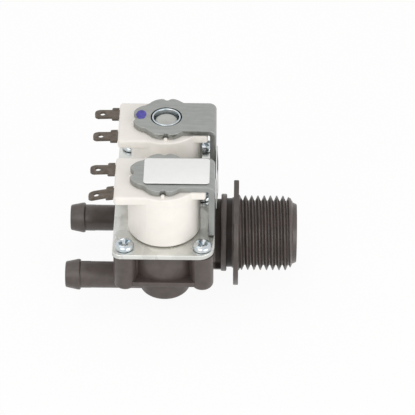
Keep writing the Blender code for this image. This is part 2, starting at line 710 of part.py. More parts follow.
def spring(name, y, mat):
    """The return spring above the plunger, in its pocket."""
    low = PLUNGER_TOP - PLUNGER_POCKET_H + GAP + SPRING_WIRE / 2
    high = GUIDE_INNER_TOP - GAP - SPRING_WIRE / 2
    per_turn = 6
    count = SPRING_TURNS * per_turn
    curve = bpy.data.curves.new(name, "CURVE")
    curve.dimensions = "3D"
    curve.bevel_depth = SPRING_WIRE / 2 * MM
    curve.bevel_resolution = 0
    curve.use_fill_caps = True
    line = curve.splines.new("POLY")
    line.points.add(count)
    for i in range(count + 1):
        a = 2 * math.pi * i / per_turn
        z = low + (high - low) * i / count
        line.points[i].co = (SPRING_R * MM * math.cos(a), (y + SPRING_R * math.sin(a)) * MM, z * MM, 1)
    curve.materials.append(mat)
    obj = bpy.data.objects.new(name, curve)
    bpy.context.scene.collection.objects.link(obj)
    return obj


def diaphragm(name, y, mat):
    """The rubber diaphragm: bead, thin rolling web, pad with the hole for the insert."""
    web_top = PAD_TOP - WEB_DROP
    outer = BEAD_R - BEAD_W - WEB_KNEE
    hole = INSERT_HUB_R + GAP
    profile = [
        (hole, PAD_TOP), (DIAPHRAGM_PAD_R, PAD_TOP), (DIAPHRAGM_PAD_R + WEB_KNEE, web_top - 0.2),
        (DIAPHRAGM_PAD_R + WEB_FOLD, web_top - WEB_FOLD_DROP), (outer, web_top - WEB_DROP),
        (BEAD_R - BEAD_W, BEAD_TOP), (BEAD_R, BEAD_TOP), (BEAD_R, BEAD_TOP - BEAD_H),
        (BEAD_R - BEAD_W, BEAD_TOP - BEAD_H), (outer, web_top - WEB_DROP - DIAPHRAGM_T),
        (DIAPHRAGM_PAD_R + WEB_FOLD, web_top - WEB_FOLD_DROP - DIAPHRAGM_T),
        (DIAPHRAGM_PAD_R + WEB_KNEE, web_top - 0.2 - DIAPHRAGM_T),
        (DIAPHRAGM_PAD_R, PAD_BOTTOM), (hole, PAD_BOTTOM),
    ]
    return place(turned(name, profile, mat, MEDIUM), y=y)


def valve_insides(side, y, mats):
    """Every piece of one valve from the diaphragm up to the upper pole sleeve."""
    diaphragm("diaphragm_" + side, y, mats["rubber"])
    insert = [
        (PILOT_HOLE_R, NOZZLE_TOP), (NOZZLE_R - 0.3, NOZZLE_TOP), (NOZZLE_R, INSERT_TOP),
        (INSERT_FLANGE_R, INSERT_TOP), (INSERT_FLANGE_R, INSERT_BOTTOM), (INSERT_HUB_R, INSERT_BOTTOM),
        (INSERT_HUB_R, PAD_BOTTOM - 0.5), (INSERT_HUB_R + 0.5, PAD_BOTTOM - 1.0),
        (INSERT_HUB_R, PAD_BOTTOM - INSERT_STEM_L), (PILOT_HOLE_R, PAD_BOTTOM - INSERT_STEM_L),
    ]
    place(turned("diaphragm_insert_" + side, insert, mats["acetal"], SMALL + 2), y=y)
    guide = [
        (0, GUIDE_TOP - GUIDE_DISH), (GUIDE_R - 2.4, GUIDE_TOP - GUIDE_DISH / 2),
        (GUIDE_R - GUIDE_ROUND, GUIDE_TOP),
        (GUIDE_R - 0.3, GUIDE_TOP - 0.3), (GUIDE_R, GUIDE_TOP - GUIDE_ROUND), (GUIDE_R, BODY_TOP),
        (GUIDE_FLANGE_R, BODY_TOP),
        (GUIDE_FLANGE_R, FLANGE_BOTTOM), (PILOT_ROOM_R, FLANGE_BOTTOM), (PILOT_ROOM_R, PILOT_ROOF),
        (GUIDE_BORE, PILOT_ROOF), (GUIDE_BORE, GUIDE_INNER_TOP), (0, GUIDE_INNER_TOP),
    ]
    place(turned("guide_tube_" + side, guide, mats["guide"], MEDIUM), y=y)
    pocket = PLUNGER_TOP - PLUNGER_POCKET_H
    socket = SEAL_BOTTOM + SEAL_L + GAP
    plunger = [
        (0, pocket), (PLUNGER_POCKET_R, pocket), (PLUNGER_POCKET_R, PLUNGER_TOP), (PLUNGER_R - 0.4, PLUNGER_TOP),
        (PLUNGER_R, PLUNGER_TOP - 0.4), (PLUNGER_R, PLUNGER_BOTTOM + 0.6), (PLUNGER_R - 0.6, PLUNGER_BOTTOM),
        (SEAL_R + GAP, PLUNGER_BOTTOM), (SEAL_R + GAP, socket), (0, socket),
    ]
    place(turned("plunger_" + side, plunger, mats["stainless"], MEDIUM), y=y)
    seal = disc_profile(SEAL_R, SEAL_BOTTOM, SEAL_BOTTOM + SEAL_L)
    place(turned("plunger_seal_" + side, seal, mats["rubber"], SMALL), y=y)
    spring("plunger_spring_" + side, y, mats["spring"])
    lower = tube_profile(SLEEVE_BORE, SLEEVE_R, GAP, GAP + LOWER_SLEEVE_L)
    place(turned("lower_pole_sleeve_" + side, lower, mats["zinc"], MEDIUM), y=y)
    upper = [
        (SLEEVE_BORE, YOKE_TOP - 0.15), (SLEEVE_BORE + 0.3, YOKE_TOP), (SLEEVE_R - 0.15, YOKE_TOP),
        (SLEEVE_R, YOKE_TOP - 0.15), (SLEEVE_R, YOKE_TOP - UPPER_SLEEVE_L), (SLEEVE_BORE, YOKE_TOP - UPPER_SLEEVE_L),
    ]
    place(turned("upper_pole_sleeve_" + side, upper, mats["zinc"], MEDIUM), y=y)
    bobbin = [
        (SLEEVE_ROOM_R, BOBBIN_TOP), (BOBBIN_R, BOBBIN_TOP), (BOBBIN_R, BOBBIN_TOP - BOBBIN_FLANGE_T),
        (BOBBIN_TUBE_R, BOBBIN_TOP - BOBBIN_FLANGE_T), (BOBBIN_TUBE_R, BOBBIN_BOTTOM + BOBBIN_FLANGE_T),
        (BOBBIN_R, BOBBIN_BOTTOM + BOBBIN_FLANGE_T), (BOBBIN_R, BOBBIN_BOTTOM), (SLEEVE_ROOM_R, BOBBIN_BOTTOM),
    ]
    place(turned("bobbin_" + side, bobbin, mats["bobbin"], MEDIUM), y=y)
    wound = tube_profile(BOBBIN_TUBE_R + GAP, WINDING_R, BOBBIN_BOTTOM + BOBBIN_FLANGE_T + GAP,
                         BOBBIN_TOP - BOBBIN_FLANGE_T - GAP)
    place(turned("winding_" + side, wound, mats["copper"], MEDIUM), y=y)


def inlet_screen(mat):
    """The strainer: a flange at the step and a slotted thimble that points out of the inlet."""
    flange = SCREEN_FLANGE_X
    profile = [
        (SCREEN_R - SCREEN_WALL, flange), (SCREEN_FLANGE_R, flange), (SCREEN_FLANGE_R, flange + SCREEN_FLANGE_T),
        (SCREEN_R, flange + SCREEN_FLANGE_T), (SCREEN_R - 0.8, flange + SCREEN_L - 0.8),
        (SCREEN_R - 1.6, flange + SCREEN_L), (0, flange + SCREEN_L), (0, flange + SCREEN_L - SCREEN_WALL),
        (SCREEN_R - SCREEN_WALL - 1.0, flange + SCREEN_L - SCREEN_WALL - 0.6),
    ]
    screen = turned("inlet_screen", profile, mat, SCREEN_SLOTS * 2, "X")
    slots = []
    for i in range(SCREEN_SLOTS // 2):
        low = (flange + SCREEN_FLANGE_T + 1.2, -SCREEN_SLOT_W / 2, -SCREEN_R - CUT_OVER)
        high = (flange + SCREEN_L - 2.4, SCREEN_SLOT_W / 2, SCREEN_R + CUT_OVER)
        slot = block("slot", low, high)
        slot.data.transform(Matrix.Rotation(2 * math.pi * i / SCREEN_SLOTS, 4, "X"))
        slots.append(slot)
    combine(screen, slots, "DIFFERENCE")
    return place(screen, z=INLET_Z)


def flow_regulator(mat):
    """The rubber flow washer between the inlet's step and the strainer."""
    low = INLET_STEP_X + GAP
    profile = [
        (REGULATOR_HOLE_R, low), (SCREEN_FLANGE_R, low), (SCREEN_FLANGE_R, low + REGULATOR_T),
        (REGULATOR_HOLE_R + 1.8, low + REGULATOR_T), (REGULATOR_HOLE_R, low + REGULATOR_T - 1.2),
    ]
    washer = turned("flow_regulator", profile, mat, MEDIUM, "X")
    return place(washer, z=INLET_Z)


def edge_label(mat):
    """A thin strip stuck across the outer faces of both yoke legs, bowed outward between them."""
    half = EDGE_LABEL_HALF_Y
    face = PLATE_RIGHT + GAP
    steps = 10
    inner = []
    for i in range(steps + 1):
        share = i / steps
        bow = EDGE_LABEL_BULGE * math.sin(math.pi * share) ** 2
        inner.append((face + bow, -half + 2 * half * share))
    outline = inner + [(x + LABEL_T, y) for x, y in reversed(inner)]
    return prism("edge_label", outline, EDGE_LABEL_TOP - EDGE_LABEL_H, EDGE_LABEL_TOP, mat)


def build():
    """Makes every piece, then centres the finished part in X and raises it onto its lowest point."""
    clear_scene()
    mats = {
        "body": material("glass_filled_nylon", (74, 68, 64), 0.5),
        "plate": material("galvanised_steel", (185, 185, 180), 0.35, 1.0),
        "zinc": material("zinc_plated_steel", (165, 170, 167), 0.35, 1.0),
        "screw": material("bright_zinc_screw", (200, 204, 210), 0.2, 1.0),
        "white": material("white_polyester_moulding", (240, 235, 228), 0.45),
        "bobbin": material("natural_nylon", (225, 220, 205), 0.5),
        "copper": material("enamelled_copper", (176, 92, 48), 0.35, 1.0),
        "terminal": material("tinned_brass", (120, 110, 100), 0.35, 1.0),
        "rubber": material("black_rubber", (28, 28, 28), 0.7),
        "acetal": material("white_acetal", (232, 232, 226), 0.4),
        "guide": material("pale_guide_plastic", (205, 205, 200), 0.4),
        "stainless": material("stainless_steel", (190, 190, 190), 0.25, 1.0),
        "spring": material("spring_steel", (170, 170, 172), 0.25, 1.0),
        "screen": material("screen_plastic", (225, 225, 220), 0.45),
        "paper": material("label_paper", (244, 244, 242), 0.6),
    }
    valve_body(mats["body"])
    inlet_screen(mats["screen"])
    flow_regulator(mats["rubber"])
    base_plate(mats["plate"])
    for side, y in VALVES:
        valve_insides(side, y, mats)
        coil_casing("coil_casing_" + side, y, mats["white"])
        yoke("yoke_" + side, y, mats["zinc"])
        outer = -TERMINAL_Y if side == "front" else TERMINAL_Y
        droop = 13.0 if side == "front" else 2.0
        terminal("terminal_" + side + "_outer", y + outer, droop, mats["terminal"])
        terminal("terminal_" + side + "_inner", y - outer, 2.5, mats["terminal"])
    first = screw_mesh(mats["screw"])
    shared = first.data
    bpy.data.objects.remove(first, do_unlink=True)
    for across, sx in (("left", -1), ("right", 1)):
        for along, y in (("front", -SCREW_Y), ("middle", 0.0), ("rear", SCREW_Y)):
            obj = bpy.data.objects.new("screw_" + along + "_" + across, shared)
            obj.location = (sx * SCREW_X * MM, y * MM, 0)
            bpy.context.scene.collection.objects.link(obj)
    front_y = VALVES[0][1]
    sheet = rounded_rectangle(LABEL_RIGHT - LABEL_L, front_y - LABEL_W / 2 + 0.3, LABEL_RIGHT,
                              front_y + LABEL_W / 2 + 0.3, LABEL_ROUND, LABEL_ROUND, 4)
    prism("label", sheet, LABEL_BOTTOM, LABEL_BOTTOM + LABEL_T, mats["paper"])
    edge_label(mats["paper"])
    for obj in bpy.data.objects:
        obj.location.x -= MIDDLE_X * MM
        obj.location.z += LIFT * MM


if __name__ == "__main__":
    build()
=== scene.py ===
"""Looks of a washing machine inlet valve with two coils, laid out as a Blender add-on.

Lengths named here are in millimetres unless a comment says otherwise. Shapes are first
made about the middle of the base plate's top face, with +X towards the threaded inlet,
and `settle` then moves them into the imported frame, in metres.
"""

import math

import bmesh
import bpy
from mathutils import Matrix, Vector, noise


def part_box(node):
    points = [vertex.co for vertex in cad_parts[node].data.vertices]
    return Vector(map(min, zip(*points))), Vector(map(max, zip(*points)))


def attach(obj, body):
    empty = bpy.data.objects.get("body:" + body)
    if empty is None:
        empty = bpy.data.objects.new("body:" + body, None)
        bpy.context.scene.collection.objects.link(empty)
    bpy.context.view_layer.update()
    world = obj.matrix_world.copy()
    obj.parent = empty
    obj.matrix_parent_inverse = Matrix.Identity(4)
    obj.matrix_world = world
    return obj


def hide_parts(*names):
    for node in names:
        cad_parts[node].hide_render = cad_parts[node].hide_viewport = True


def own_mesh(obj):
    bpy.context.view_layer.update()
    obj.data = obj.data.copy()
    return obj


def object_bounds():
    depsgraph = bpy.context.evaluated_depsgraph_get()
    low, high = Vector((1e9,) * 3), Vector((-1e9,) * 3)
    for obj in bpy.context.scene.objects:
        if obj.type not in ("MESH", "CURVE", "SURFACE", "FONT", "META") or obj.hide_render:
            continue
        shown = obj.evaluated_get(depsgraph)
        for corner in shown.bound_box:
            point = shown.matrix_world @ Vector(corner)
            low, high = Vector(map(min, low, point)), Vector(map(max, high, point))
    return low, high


bl_info = {
    "name": "Washing machine inlet valve",
    "version": (1, 0, 0),
    "blender": (4, 5, 0),
    "location": "View3D > Sidebar > Valve",
    "description": "Builds the finished surfaces of a solenoid inlet valve around its frame",
    "category": "Object",
}

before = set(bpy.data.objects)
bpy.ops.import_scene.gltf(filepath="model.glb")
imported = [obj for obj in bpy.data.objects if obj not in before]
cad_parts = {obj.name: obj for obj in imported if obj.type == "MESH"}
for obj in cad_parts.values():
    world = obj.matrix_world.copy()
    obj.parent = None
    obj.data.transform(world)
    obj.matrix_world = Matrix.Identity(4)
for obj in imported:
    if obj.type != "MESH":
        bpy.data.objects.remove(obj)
CAD_LOW, CAD_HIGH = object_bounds()

MM = 0.001

# Places read from the frame
PLATE_LOW, PLATE_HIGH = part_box("base_plate")
PLATE_CENTRE = Vector(((PLATE_LOW.x + PLATE_HIGH.x) / 2, (PLATE_LOW.y + PLATE_HIGH.y) / 2, PLATE_HIGH.z))


def span(node):
    """A node's lowest and highest corner, in millimetres from the middle of the plate's top."""
    low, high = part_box(node)
    return (low - PLATE_CENTRE) / MM, (high - PLATE_CENTRE) / MM


def middle(node):
    """The middle of a node's box, in millimetres from the middle of the plate's top."""
    low, high = span(node)
    return (low + high) / 2


VALVES = (("front", middle("guide_tube_front").y), ("rear", middle("guide_tube_rear").y))
SCREWS = [name for name in sorted(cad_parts) if name.startswith("screw_")]
BODY_LOW = span("valve_body")[0]
FLANGE_R = 18.6
INLET_Z = BODY_LOW.z + FLANGE_R
OUTLET_Z = INLET_Z - 6.8
# Steps round a turned piece
FACETS = 96
# From where to where, along the inlet, the neck's two grooves run; there the body's colour is painted
# darker as shade
NECK_GROOVES = ((17.6, 19.48), (21.52, 23.38))


def linear(text):
    """Turns an sRGB hex colour into linear red, green, blue and an alpha of 1."""
    channels = []
    for i in (1, 3, 5):
        value = int(text[i:i + 2], 16) / 255
        channels.append(value / 12.92 if value <= 0.04045 else ((value + 0.055) / 1.055) ** 2.4)
    return (*channels, 1.0)


# Sizes and colours that a user would change

class ValveSizes(bpy.types.PropertyGroup):
    """Edge radii and small sizes of the finished pieces."""

    sheet_edge: bpy.props.FloatProperty(
        name="Sheet edge", description="Radius of the sheet steel's edges", default=0.22 * MM,
        unit="LENGTH", precision=5)
    coil_edge: bpy.props.FloatProperty(
        name="Coil edge", description="Radius of the coil covers' edges", default=0.9 * MM,
        unit="LENGTH", precision=5)
    thread_pitch: bpy.props.FloatProperty(
        name="Thread pitch", description="Pitch of the inlet thread, 11.5 turns per inch",
        default=2.209 * MM, unit="LENGTH", precision=5)
    ink_length: bpy.props.FloatProperty(
        name="Ink mark", description="Length of the ink mark on the rear yoke", default=5.0 * MM,
        unit="LENGTH", precision=5)


class ValveColours(bpy.types.PropertyGroup):
    """Colours of the finishes, given as sRGB hex values."""

    nylon: bpy.props.FloatVectorProperty(
        name="Body", description="Moulded valve body", subtype="COLOR", size=4, default=linear("#504743"))
    cover: bpy.props.FloatVectorProperty(
        name="Coil cover", description="Moulded coil covers", subtype="COLOR", size=4,
        default=linear("#F1ECE5"))
    plate: bpy.props.FloatVectorProperty(
        name="Base plate", description="Galvanised sheet", subtype="COLOR", size=4,
        default=linear("#DDDEDA"))
    yoke: bpy.props.FloatVectorProperty(
        name="Yoke", description="Zinc-plated sheet", subtype="COLOR", size=4, default=linear("#9FA19E"))
    screw: bpy.props.FloatVectorProperty(
        name="Screw", description="Bright zinc", subtype="COLOR", size=4, default=linear("#C9CCCE"))
    terminal: bpy.props.FloatVectorProperty(
        name="Terminal", description="Dull tinned brass", subtype="COLOR", size=4,
        default=linear("#6A625A"))
    ink: bpy.props.FloatVectorProperty(
        name="Ink", description="Ink mark on the rear yoke", subtype="COLOR", size=4,
        default=linear("#4B469A"))
    paper: bpy.props.FloatVectorProperty(
        name="Label", description="Bare label paper", subtype="COLOR", size=4, default=linear("#F2F2F0"))
    # The edge strip's pale grey is painted shade: its edge is seen edge-on in shadow.
    film: bpy.props.FloatVectorProperty(
        name="Edge strip", description="Film strip on the yokes' legs", subtype="COLOR", size=4,
        default=linear("#BFBFBC"))


class ValveStage(bpy.types.PropertyGroup):
    """The camera's place and the level of light."""

    azimuth: bpy.props.FloatProperty(
        name="Azimuth", description="Turn of the camera about the valve", default=math.radians(1.0),
        subtype="ANGLE")
    elevation: bpy.props.FloatProperty(
        name="Elevation", description="Height of the camera above the horizon", default=math.radians(39.0),
        subtype="ANGLE")
    distance: bpy.props.FloatProperty(
        name="Distance", description="From the camera to the base plate", default=0.885, unit="LENGTH")
    key: bpy.props.FloatProperty(
        name="Key light", description="Power of the largest lamp, in watts", default=2.0)
    world: bpy.props.FloatProperty(
        name="Sky", description="Strength of the even light from all round", default=0.68)


# Meshes

def add_object(name, data):
    """Puts a mesh, light or camera into the scene."""
    obj = bpy.data.objects.new(name, data)
    bpy.context.scene.collection.objects.link(obj)
    return obj


def new_object(name, bm, mat=None):
    """Turns a bmesh in millimetres into a smooth object in metres."""
    bmesh.ops.recalc_face_normals(bm, faces=bm.faces)
    bmesh.ops.scale(bm, vec=(MM, MM, MM), verts=bm.verts)
    mesh = bpy.data.meshes.new(name)
    bm.to_mesh(mesh)
    bm.free()
    obj = add_object(name, mesh)
    smooth(obj)
    if mat:
        mesh.materials.append(mat)
    return obj


def smooth(obj, angle=32):
    """Shades an object smooth, apart from edges sharper than an angle in degrees."""
    obj.data.shade_smooth()
    obj.data.set_sharp_from_angle(angle=math.radians(angle))


def shift(obj, x=0.0, y=0.0, z=0.0):
    """Moves an object's mesh by millimetres."""
    obj.data.transform(Matrix.Translation((x * MM, y * MM, z * MM)))
    return obj


def turned(name, profile, mat=None, steps=FACETS, along="Z", phase=0.0):
    """Revolves a closed (radius, height) outline about Z, or lays it along X."""
    bm = bmesh.new()
    rings = []
    for radius, height in profile:
        if radius < 1e-6:
            rings.append([bm.verts.new((0, 0, height))])
            continue
        angles = [2 * math.pi * i / steps + phase for i in range(steps)]
        rings.append([bm.verts.new((radius * math.cos(a), radius * math.sin(a), height)) for a in angles])
    for first, second in zip(rings, rings[1:] + rings[:1]):
        if len(first) == 1 and len(second) == 1:
            continue
        for i in range(steps):
            k = (i + 1) % steps
            if len(first) == 1:
                bm.faces.new((first[0], second[i], second[k]))
            elif len(second) == 1:
                bm.faces.new((first[i], second[0], first[k]))
            else:
                bm.faces.new((first[i], second[i], second[k], first[k]))
    if along == "X":
        bmesh.ops.rotate(bm, cent=(0, 0, 0), matrix=Matrix.Rotation(math.pi / 2, 3, "Y"), verts=bm.verts)
    return new_object(name, bm, mat)


def close_rings(bm, rings):
    """Joins rings of equally many points with faces, and closes both ends."""
    count = len(rings[0])
    for first, second in zip(rings, rings[1:]):
        for i in range(count):
            k = (i + 1) % count
            bm.faces.new((first[i], first[k], second[k], second[i]))
    bm.faces.new(rings[0])
    bm.faces.new(rings[-1])


def inset(outline, depth):
    """Moves a closed outline, listed against the clock, inwards by a depth."""
    points = []
    count = len(outline)
    for i, (x, y) in enumerate(outline):
        before = Vector(outline[i - 1])
        after = Vector(outline[(i + 1) % count])
        here = Vector((x, y))
        first = (here - before).normalized()
        second = (after - here).normalized()
        normal = Vector((first.y + second.y, -first.x - second.x))
        if normal.length < 1e-6:
            points.append((x, y))
            continue
        normal.normalize()
        reach = depth / max(0.5, normal.dot(Vector((first.y, -first.x))))
        points.append((x - normal.x * reach, y - normal.y * reach))
    return points


def slab(name, outline, low, high, edge=0.0, mat=None, steps=3):
    """Extrudes an outline, listed against the clock, with rounded upper and lower edges."""
    levels = []
    if edge > 0:
        for i in range(steps, 0, -1):
            t = math.pi / 2 * i / steps
            levels.append((low + edge - edge * math.sin(t), edge * (1 - math.cos(t))))
        levels += [(low + edge, 0.0), (high - edge, 0.0)]
        for i in range(1, steps + 1):
            t = math.pi / 2 * i / steps
            levels.append((high - edge + edge * math.sin(t), edge * (1 - math.cos(t))))
    else:
        levels = [(low, 0.0), (high, 0.0)]
    bm = bmesh.new()
    rings = []
    for z, depth in levels:
        points = inset(outline, depth) if depth > 0 else outline
        rings.append([bm.verts.new((x, y, z)) for x, y in points])
    close_rings(bm, rings)
    return new_object(name, bm, mat)


def block(name, low, high, turn=0.0, at=(0, 0, 0)):
    """A box between two corners, turned about Z and then moved: a rib or a cutter."""
    bm = bmesh.new()
    bmesh.ops.create_cube(bm, size=1.0)
    bmesh.ops.scale(bm, vec=Vector(high) - Vector(low), verts=bm.verts)
    bmesh.ops.translate(bm, vec=(Vector(high) + Vector(low)) / 2, verts=bm.verts)
    bmesh.ops.rotate(bm, cent=(0, 0, 0), matrix=Matrix.Rotation(turn, 3, "Z"), verts=bm.verts)
    bmesh.ops.translate(bm, vec=at, verts=bm.verts)
    return new_object(name, bm)


def combine(obj, tools, operation):
    """Unites an object with tools, or cuts them from it, in one step, and removes the tools."""
    group = bpy.data.collections.new("tools")
    for tool in tools:
        group.objects.link(tool)
    mod = obj.modifiers.new(operation.lower(), "BOOLEAN")
    mod.operation = operation
    mod.solver = "EXACT"
    mod.operand_type = "COLLECTION"
    mod.collection = group
    graph = bpy.context.evaluated_depsgraph_get()
    mesh = bpy.data.meshes.new_from_object(obj.evaluated_get(graph))
    if len(mesh.polygons) == 0:
        raise RuntimeError("nothing is left of " + obj.name)
    obj.modifiers.clear()
    obj.data = mesh
    smooth(obj)
    for tool in tools:
        bpy.data.objects.remove(tool, do_unlink=True)
    bpy.data.collections.remove(group)
    return obj


def arc(cx, cy, radius, start, end, steps):
    """Points along an arc, angles in degrees."""
    angles = [math.radians(start + (end - start) * i / steps) for i in range(steps + 1)]
    return [(cx + radius * math.cos(a), cy + radius * math.sin(a)) for a in angles]


def rounded_rectangle(x0, y0, x1, y1, left, right, steps=10):
    """A rectangle with one radius at its left corners and another at its right corners."""
    points = arc(x1 - right, y1 - right, right, 0, 90, steps)
    points += arc(x0 + left, y1 - left, left, 90, 180, steps)
    points += arc(x0 + left, y0 + left, left, 180, 270, steps)
    points += arc(x1 - right, y0 + right, right, 270, 360, steps)
    return points


def disc(radius, low, high, rounding=0.0, steps=8):
    """A solid cylinder's outline with a rounded lower edge."""
    points = [(0, high), (radius, high)]
    if rounding > 0:
        points += arc(radius - rounding, low + rounding, rounding, 0, -90, steps)
    else:
        points.append((radius, low))
    return points + [(0, low)]


def settle(obj, body, slot, *nodes):
    """Moves a finished piece into the frame, lets it ride on its body and hides what it stands for."""
    obj.data.transform(Matrix.Translation(PLATE_CENTRE))
    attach(obj, body)
    if nodes:
        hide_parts(*nodes)
    return obj


# Materials

def add_node(tree, kind, settings=None, links=None):
    """Adds one node, sets its sockets or properties, and links its inputs, by name or number."""
    made = tree.nodes.new(kind)
    for name, value in (settings or {}).items():
        if isinstance(name, int) or name in made.inputs:
            made.inputs[name].default_value = value
        else:
            setattr(made, name, value)
    for name, source in (links or {}).items():
        tree.links.new(source, made.inputs[name])
    return made


def grain(size):
    """The texture scale that gives a pattern features of a size in millimetres."""
    return 1 / (size * MM)


def start_material(name, settings):
    """A new material with its tree, Principled shader and object coordinates."""
    mat = bpy.data.materials.new(name)
    mat.use_nodes = True
    tree = mat.node_tree
    shader = tree.nodes["Principled BSDF"]
    for key, value in settings.items():
        shader.inputs[key].default_value = value
    place = add_node(tree, "ShaderNodeTexCoord").outputs["Object"]
    return mat, tree, shader, place


def mottle(tree, shader, place, colour, other, size, low, high, detail=4.0):
    """Varies the base colour between two colours by a noise of a size in millimetres."""
    cloud = add_node(tree, "ShaderNodeTexNoise", {"Scale": grain(size), "Detail": detail},
                     {"Vector": place})
    share = add_node(tree, "ShaderNodeMapRange", {"From Min": low, "From Max": high},
                     {"Value": cloud.outputs["Fac"]})
    mix = add_node(tree, "ShaderNodeMixRGB", {"Color1": colour, "Color2": other},
                   {"Fac": share.outputs["Result"]})
    tree.links.new(mix.outputs["Color"], shader.inputs["Base Color"])
    return mix.outputs["Color"]


def gloss(tree, shader, place, size, low, high):
    """Varies the roughness between two values by a noise of a size in millimetres."""
    cloud = add_node(tree, "ShaderNodeTexNoise", {"Scale": grain(size), "Detail": 3.0}, {"Vector": place})
    rough = add_node(tree, "ShaderNodeMapRange",
                     {"From Min": 0.35, "From Max": 0.65, "To Min": low, "To Max": high},
                     {"Value": cloud.outputs["Fac"]})
    tree.links.new(rough.outputs["Result"], shader.inputs["Roughness"])


def relief(tree, shader, height, depth, strength=1.0):
    """Raises a bump from a height between 0 and 1, with its depth in millimetres."""
    bump = add_node(tree, "ShaderNodeBump", {"Distance": depth * MM, "Strength": strength},
                    {"Height": height})
    tree.links.new(bump.outputs["Normal"], shader.inputs["Normal"])


def skin(tree, shader, place, size, detail, depth, strength):
    """Raises a fine bump from a noise, with its size and depth in millimetres."""
    cloud = add_node(tree, "ShaderNodeTexNoise", {"Scale": grain(size), "Detail": detail},
                     {"Vector": place})
    relief(tree, shader, cloud.outputs["Fac"], depth, strength)


def rings(tree, shader, place, spacing, wander, depth, strength):
    """Raises level rings about Z, with their spacing and depth in millimetres."""
    # A wave texture draws one band to every 2 pi / 20 of its scaled length.
    scale = grain(spacing) * math.tau / 20
    wave = add_node(tree, "ShaderNodeTexWave",
                    {"Scale": scale, "Distortion": wander, "bands_direction": "Z"}, {"Vector": place})
    relief(tree, shader, wave.outputs["Fac"], depth, strength)


def tone(source, factor=1.0):
    """A colour of the settings by its name, or a hex one, made darker or lighter by a factor."""
    colour = linear(source) if source.startswith("#") else getattr(bpy.context.scene.valve_colours, source)
    return (*[min(1.0, c * factor) for c in colour[:3]], 1.0)


def moulded_nylon(name):
    """Glass-filled nylon 66, injection moulded: satin, with fibres that cloud the skin, and painted shade
    in the neck's grooves.
    """
    mat, tree, shader, place = start_material(name, {"IOR": 1.53})
    clouded = mottle(tree, shader, place, tone("nylon", 0.88), tone("nylon", 1.12), 3.5, 0.35, 0.65)
    gloss(tree, shader, place, 1.2, 0.3, 0.44)
    # In the grooves beside the collar the colour is painted darker and the specular level lowered: painted
    # shade for the shadow in these recesses.
    along = add_node(tree, "ShaderNodeSeparateXYZ", {}, {"Vector": place}).outputs["X"]
    bands = []
    for low, high in NECK_GROOVES:
        limits = {1: PLATE_CENTRE.x + (low + high) / 2 * MM, 2: (high - low) / 2 * MM}
        band = add_node(tree, "ShaderNodeMath", {"operation": "COMPARE", **limits}, {0: along})
        bands.append(band.outputs[0])
    groove_shade_mask = add_node(tree, "ShaderNodeMath", {"operation": "ADD"}, dict(enumerate(bands))).outputs[0]
    # The darker colour mixed in here is the grooves' painted shade.
    rough = add_node(tree, "ShaderNodeMixRGB", {"Color2": tone("nylon", 0.5)},
                     {"Fac": groove_shade_mask, "Color1": clouded})
    tree.links.new(rough.outputs["Color"], shader.inputs["Base Color"])
    shine = add_node(tree, "ShaderNodeMapRange", {"To Min": 0.5, "To Max": 0.1}, {"Value": groove_shade_mask})
    tree.links.new(shine.outputs["Result"], shader.inputs["Specular IOR Level"])
    # Real fibres are about 0.01 mm thick, so they are drawn as 0.5 mm grain, the finest that shows.
    skin(tree, shader, place, 0.5, 5.0, 0.03, 0.5)
    return mat


def galvanised_sheet(name):
    """Hot-dip galvanised sheet: crystals a few millimetres wide that differ a little in tone."""
    mat, tree, shader, place = start_material(name, {"Metallic": 1.0})
    crystals = add_node(tree, "ShaderNodeTexVoronoi", {"Scale": grain(4.0), "Randomness": 1.0},
                        {"Vector": place})
    parts = add_node(tree, "ShaderNodeSeparateColor", {}, {"Color": crystals.outputs["Color"]})
    mix = add_node(tree, "ShaderNodeMixRGB", {"Color1": tone("plate", 0.9), "Color2": tone("plate", 1.06)},
                   {"Fac": parts.outputs["Red"]})
    tree.links.new(mix.outputs["Color"], shader.inputs["Base Color"])
    rough = add_node(tree, "ShaderNodeMapRange", {"To Min": 0.26, "To Max": 0.44},
                     {"Value": parts.outputs["Green"]})
    tree.links.new(rough.outputs["Result"], shader.inputs["Roughness"])
    skin(tree, shader, place, 1.6, 4.0, 0.02, 0.5)
    return mat


def zinc_plated_sheet(name):
    """Electroplated zinc on rolled sheet: grey, with rolling streaks along the strip and fine grain."""
    mat, tree, shader, place = start_material(name, {"Metallic": 1.0})
    streaks = add_node(tree, "ShaderNodeMapping", {"Scale": (0.16, 1.0, 0.16)}, {"Vector": place})
    drawn = streaks.outputs["Vector"]
    mottle(tree, shader, drawn, tone("yoke", 0.93), tone("yoke", 1.06), 0.9, 0.36, 0.64, 5.0)
    gloss(tree, shader, place, 1.6, 0.32, 0.46)
    skin(tree, shader, drawn, 0.6, 5.0, 0.006, 0.4)
    return mat


def bright_zinc(name):
    """Bright zinc with a clear passivation on cold-formed screws: a mirror with bluish bands."""
    mat, tree, shader, place = start_material(name, {"Metallic": 1.0})
    base = tone("screw")
    cool = (base[0] * 0.84, base[1] * 0.93, base[2] * 0.98, 1.0)
    mottle(tree, shader, place, base, cool, 1.5, 0.4, 0.62)
    gloss(tree, shader, place, 0.8, 0.12, 0.26)
    return mat


def ground_stainless(name):
    """Ground magnetic stainless steel: fine rings round the plunger."""
    mat, tree, shader, place = start_material(name, {"Metallic": 1.0, "Base Color": linear("#BEBEBE")})
    gloss(tree, shader, place, 0.8, 0.2, 0.34)
    # Grinding marks are about 0.02 mm apart and are drawn 2.5 mm apart, so that they show.
    rings(tree, shader, place, 0.4 * math.tau, 0.6, 0.01, 0.5)
    return mat


def enamelled_copper(name):
    """Enamelled copper wire wound in layers: glossy orange-brown rounds side by side."""
    mat, tree, shader, place = start_material(name, {"Metallic": 1.0})
    mottle(tree, shader, place, tone("#A2532B"), tone("#BE6A3A"), 1.5, 0.35, 0.65)
    gloss(tree, shader, place, 1.0, 0.2, 0.32)
    # The wire is 0.12 mm thick, and its turns are drawn 3.1 mm apart, so that they show.
    rings(tree, shader, place, 0.5 * math.tau, 0.3, 0.12, 0.9)
    return mat


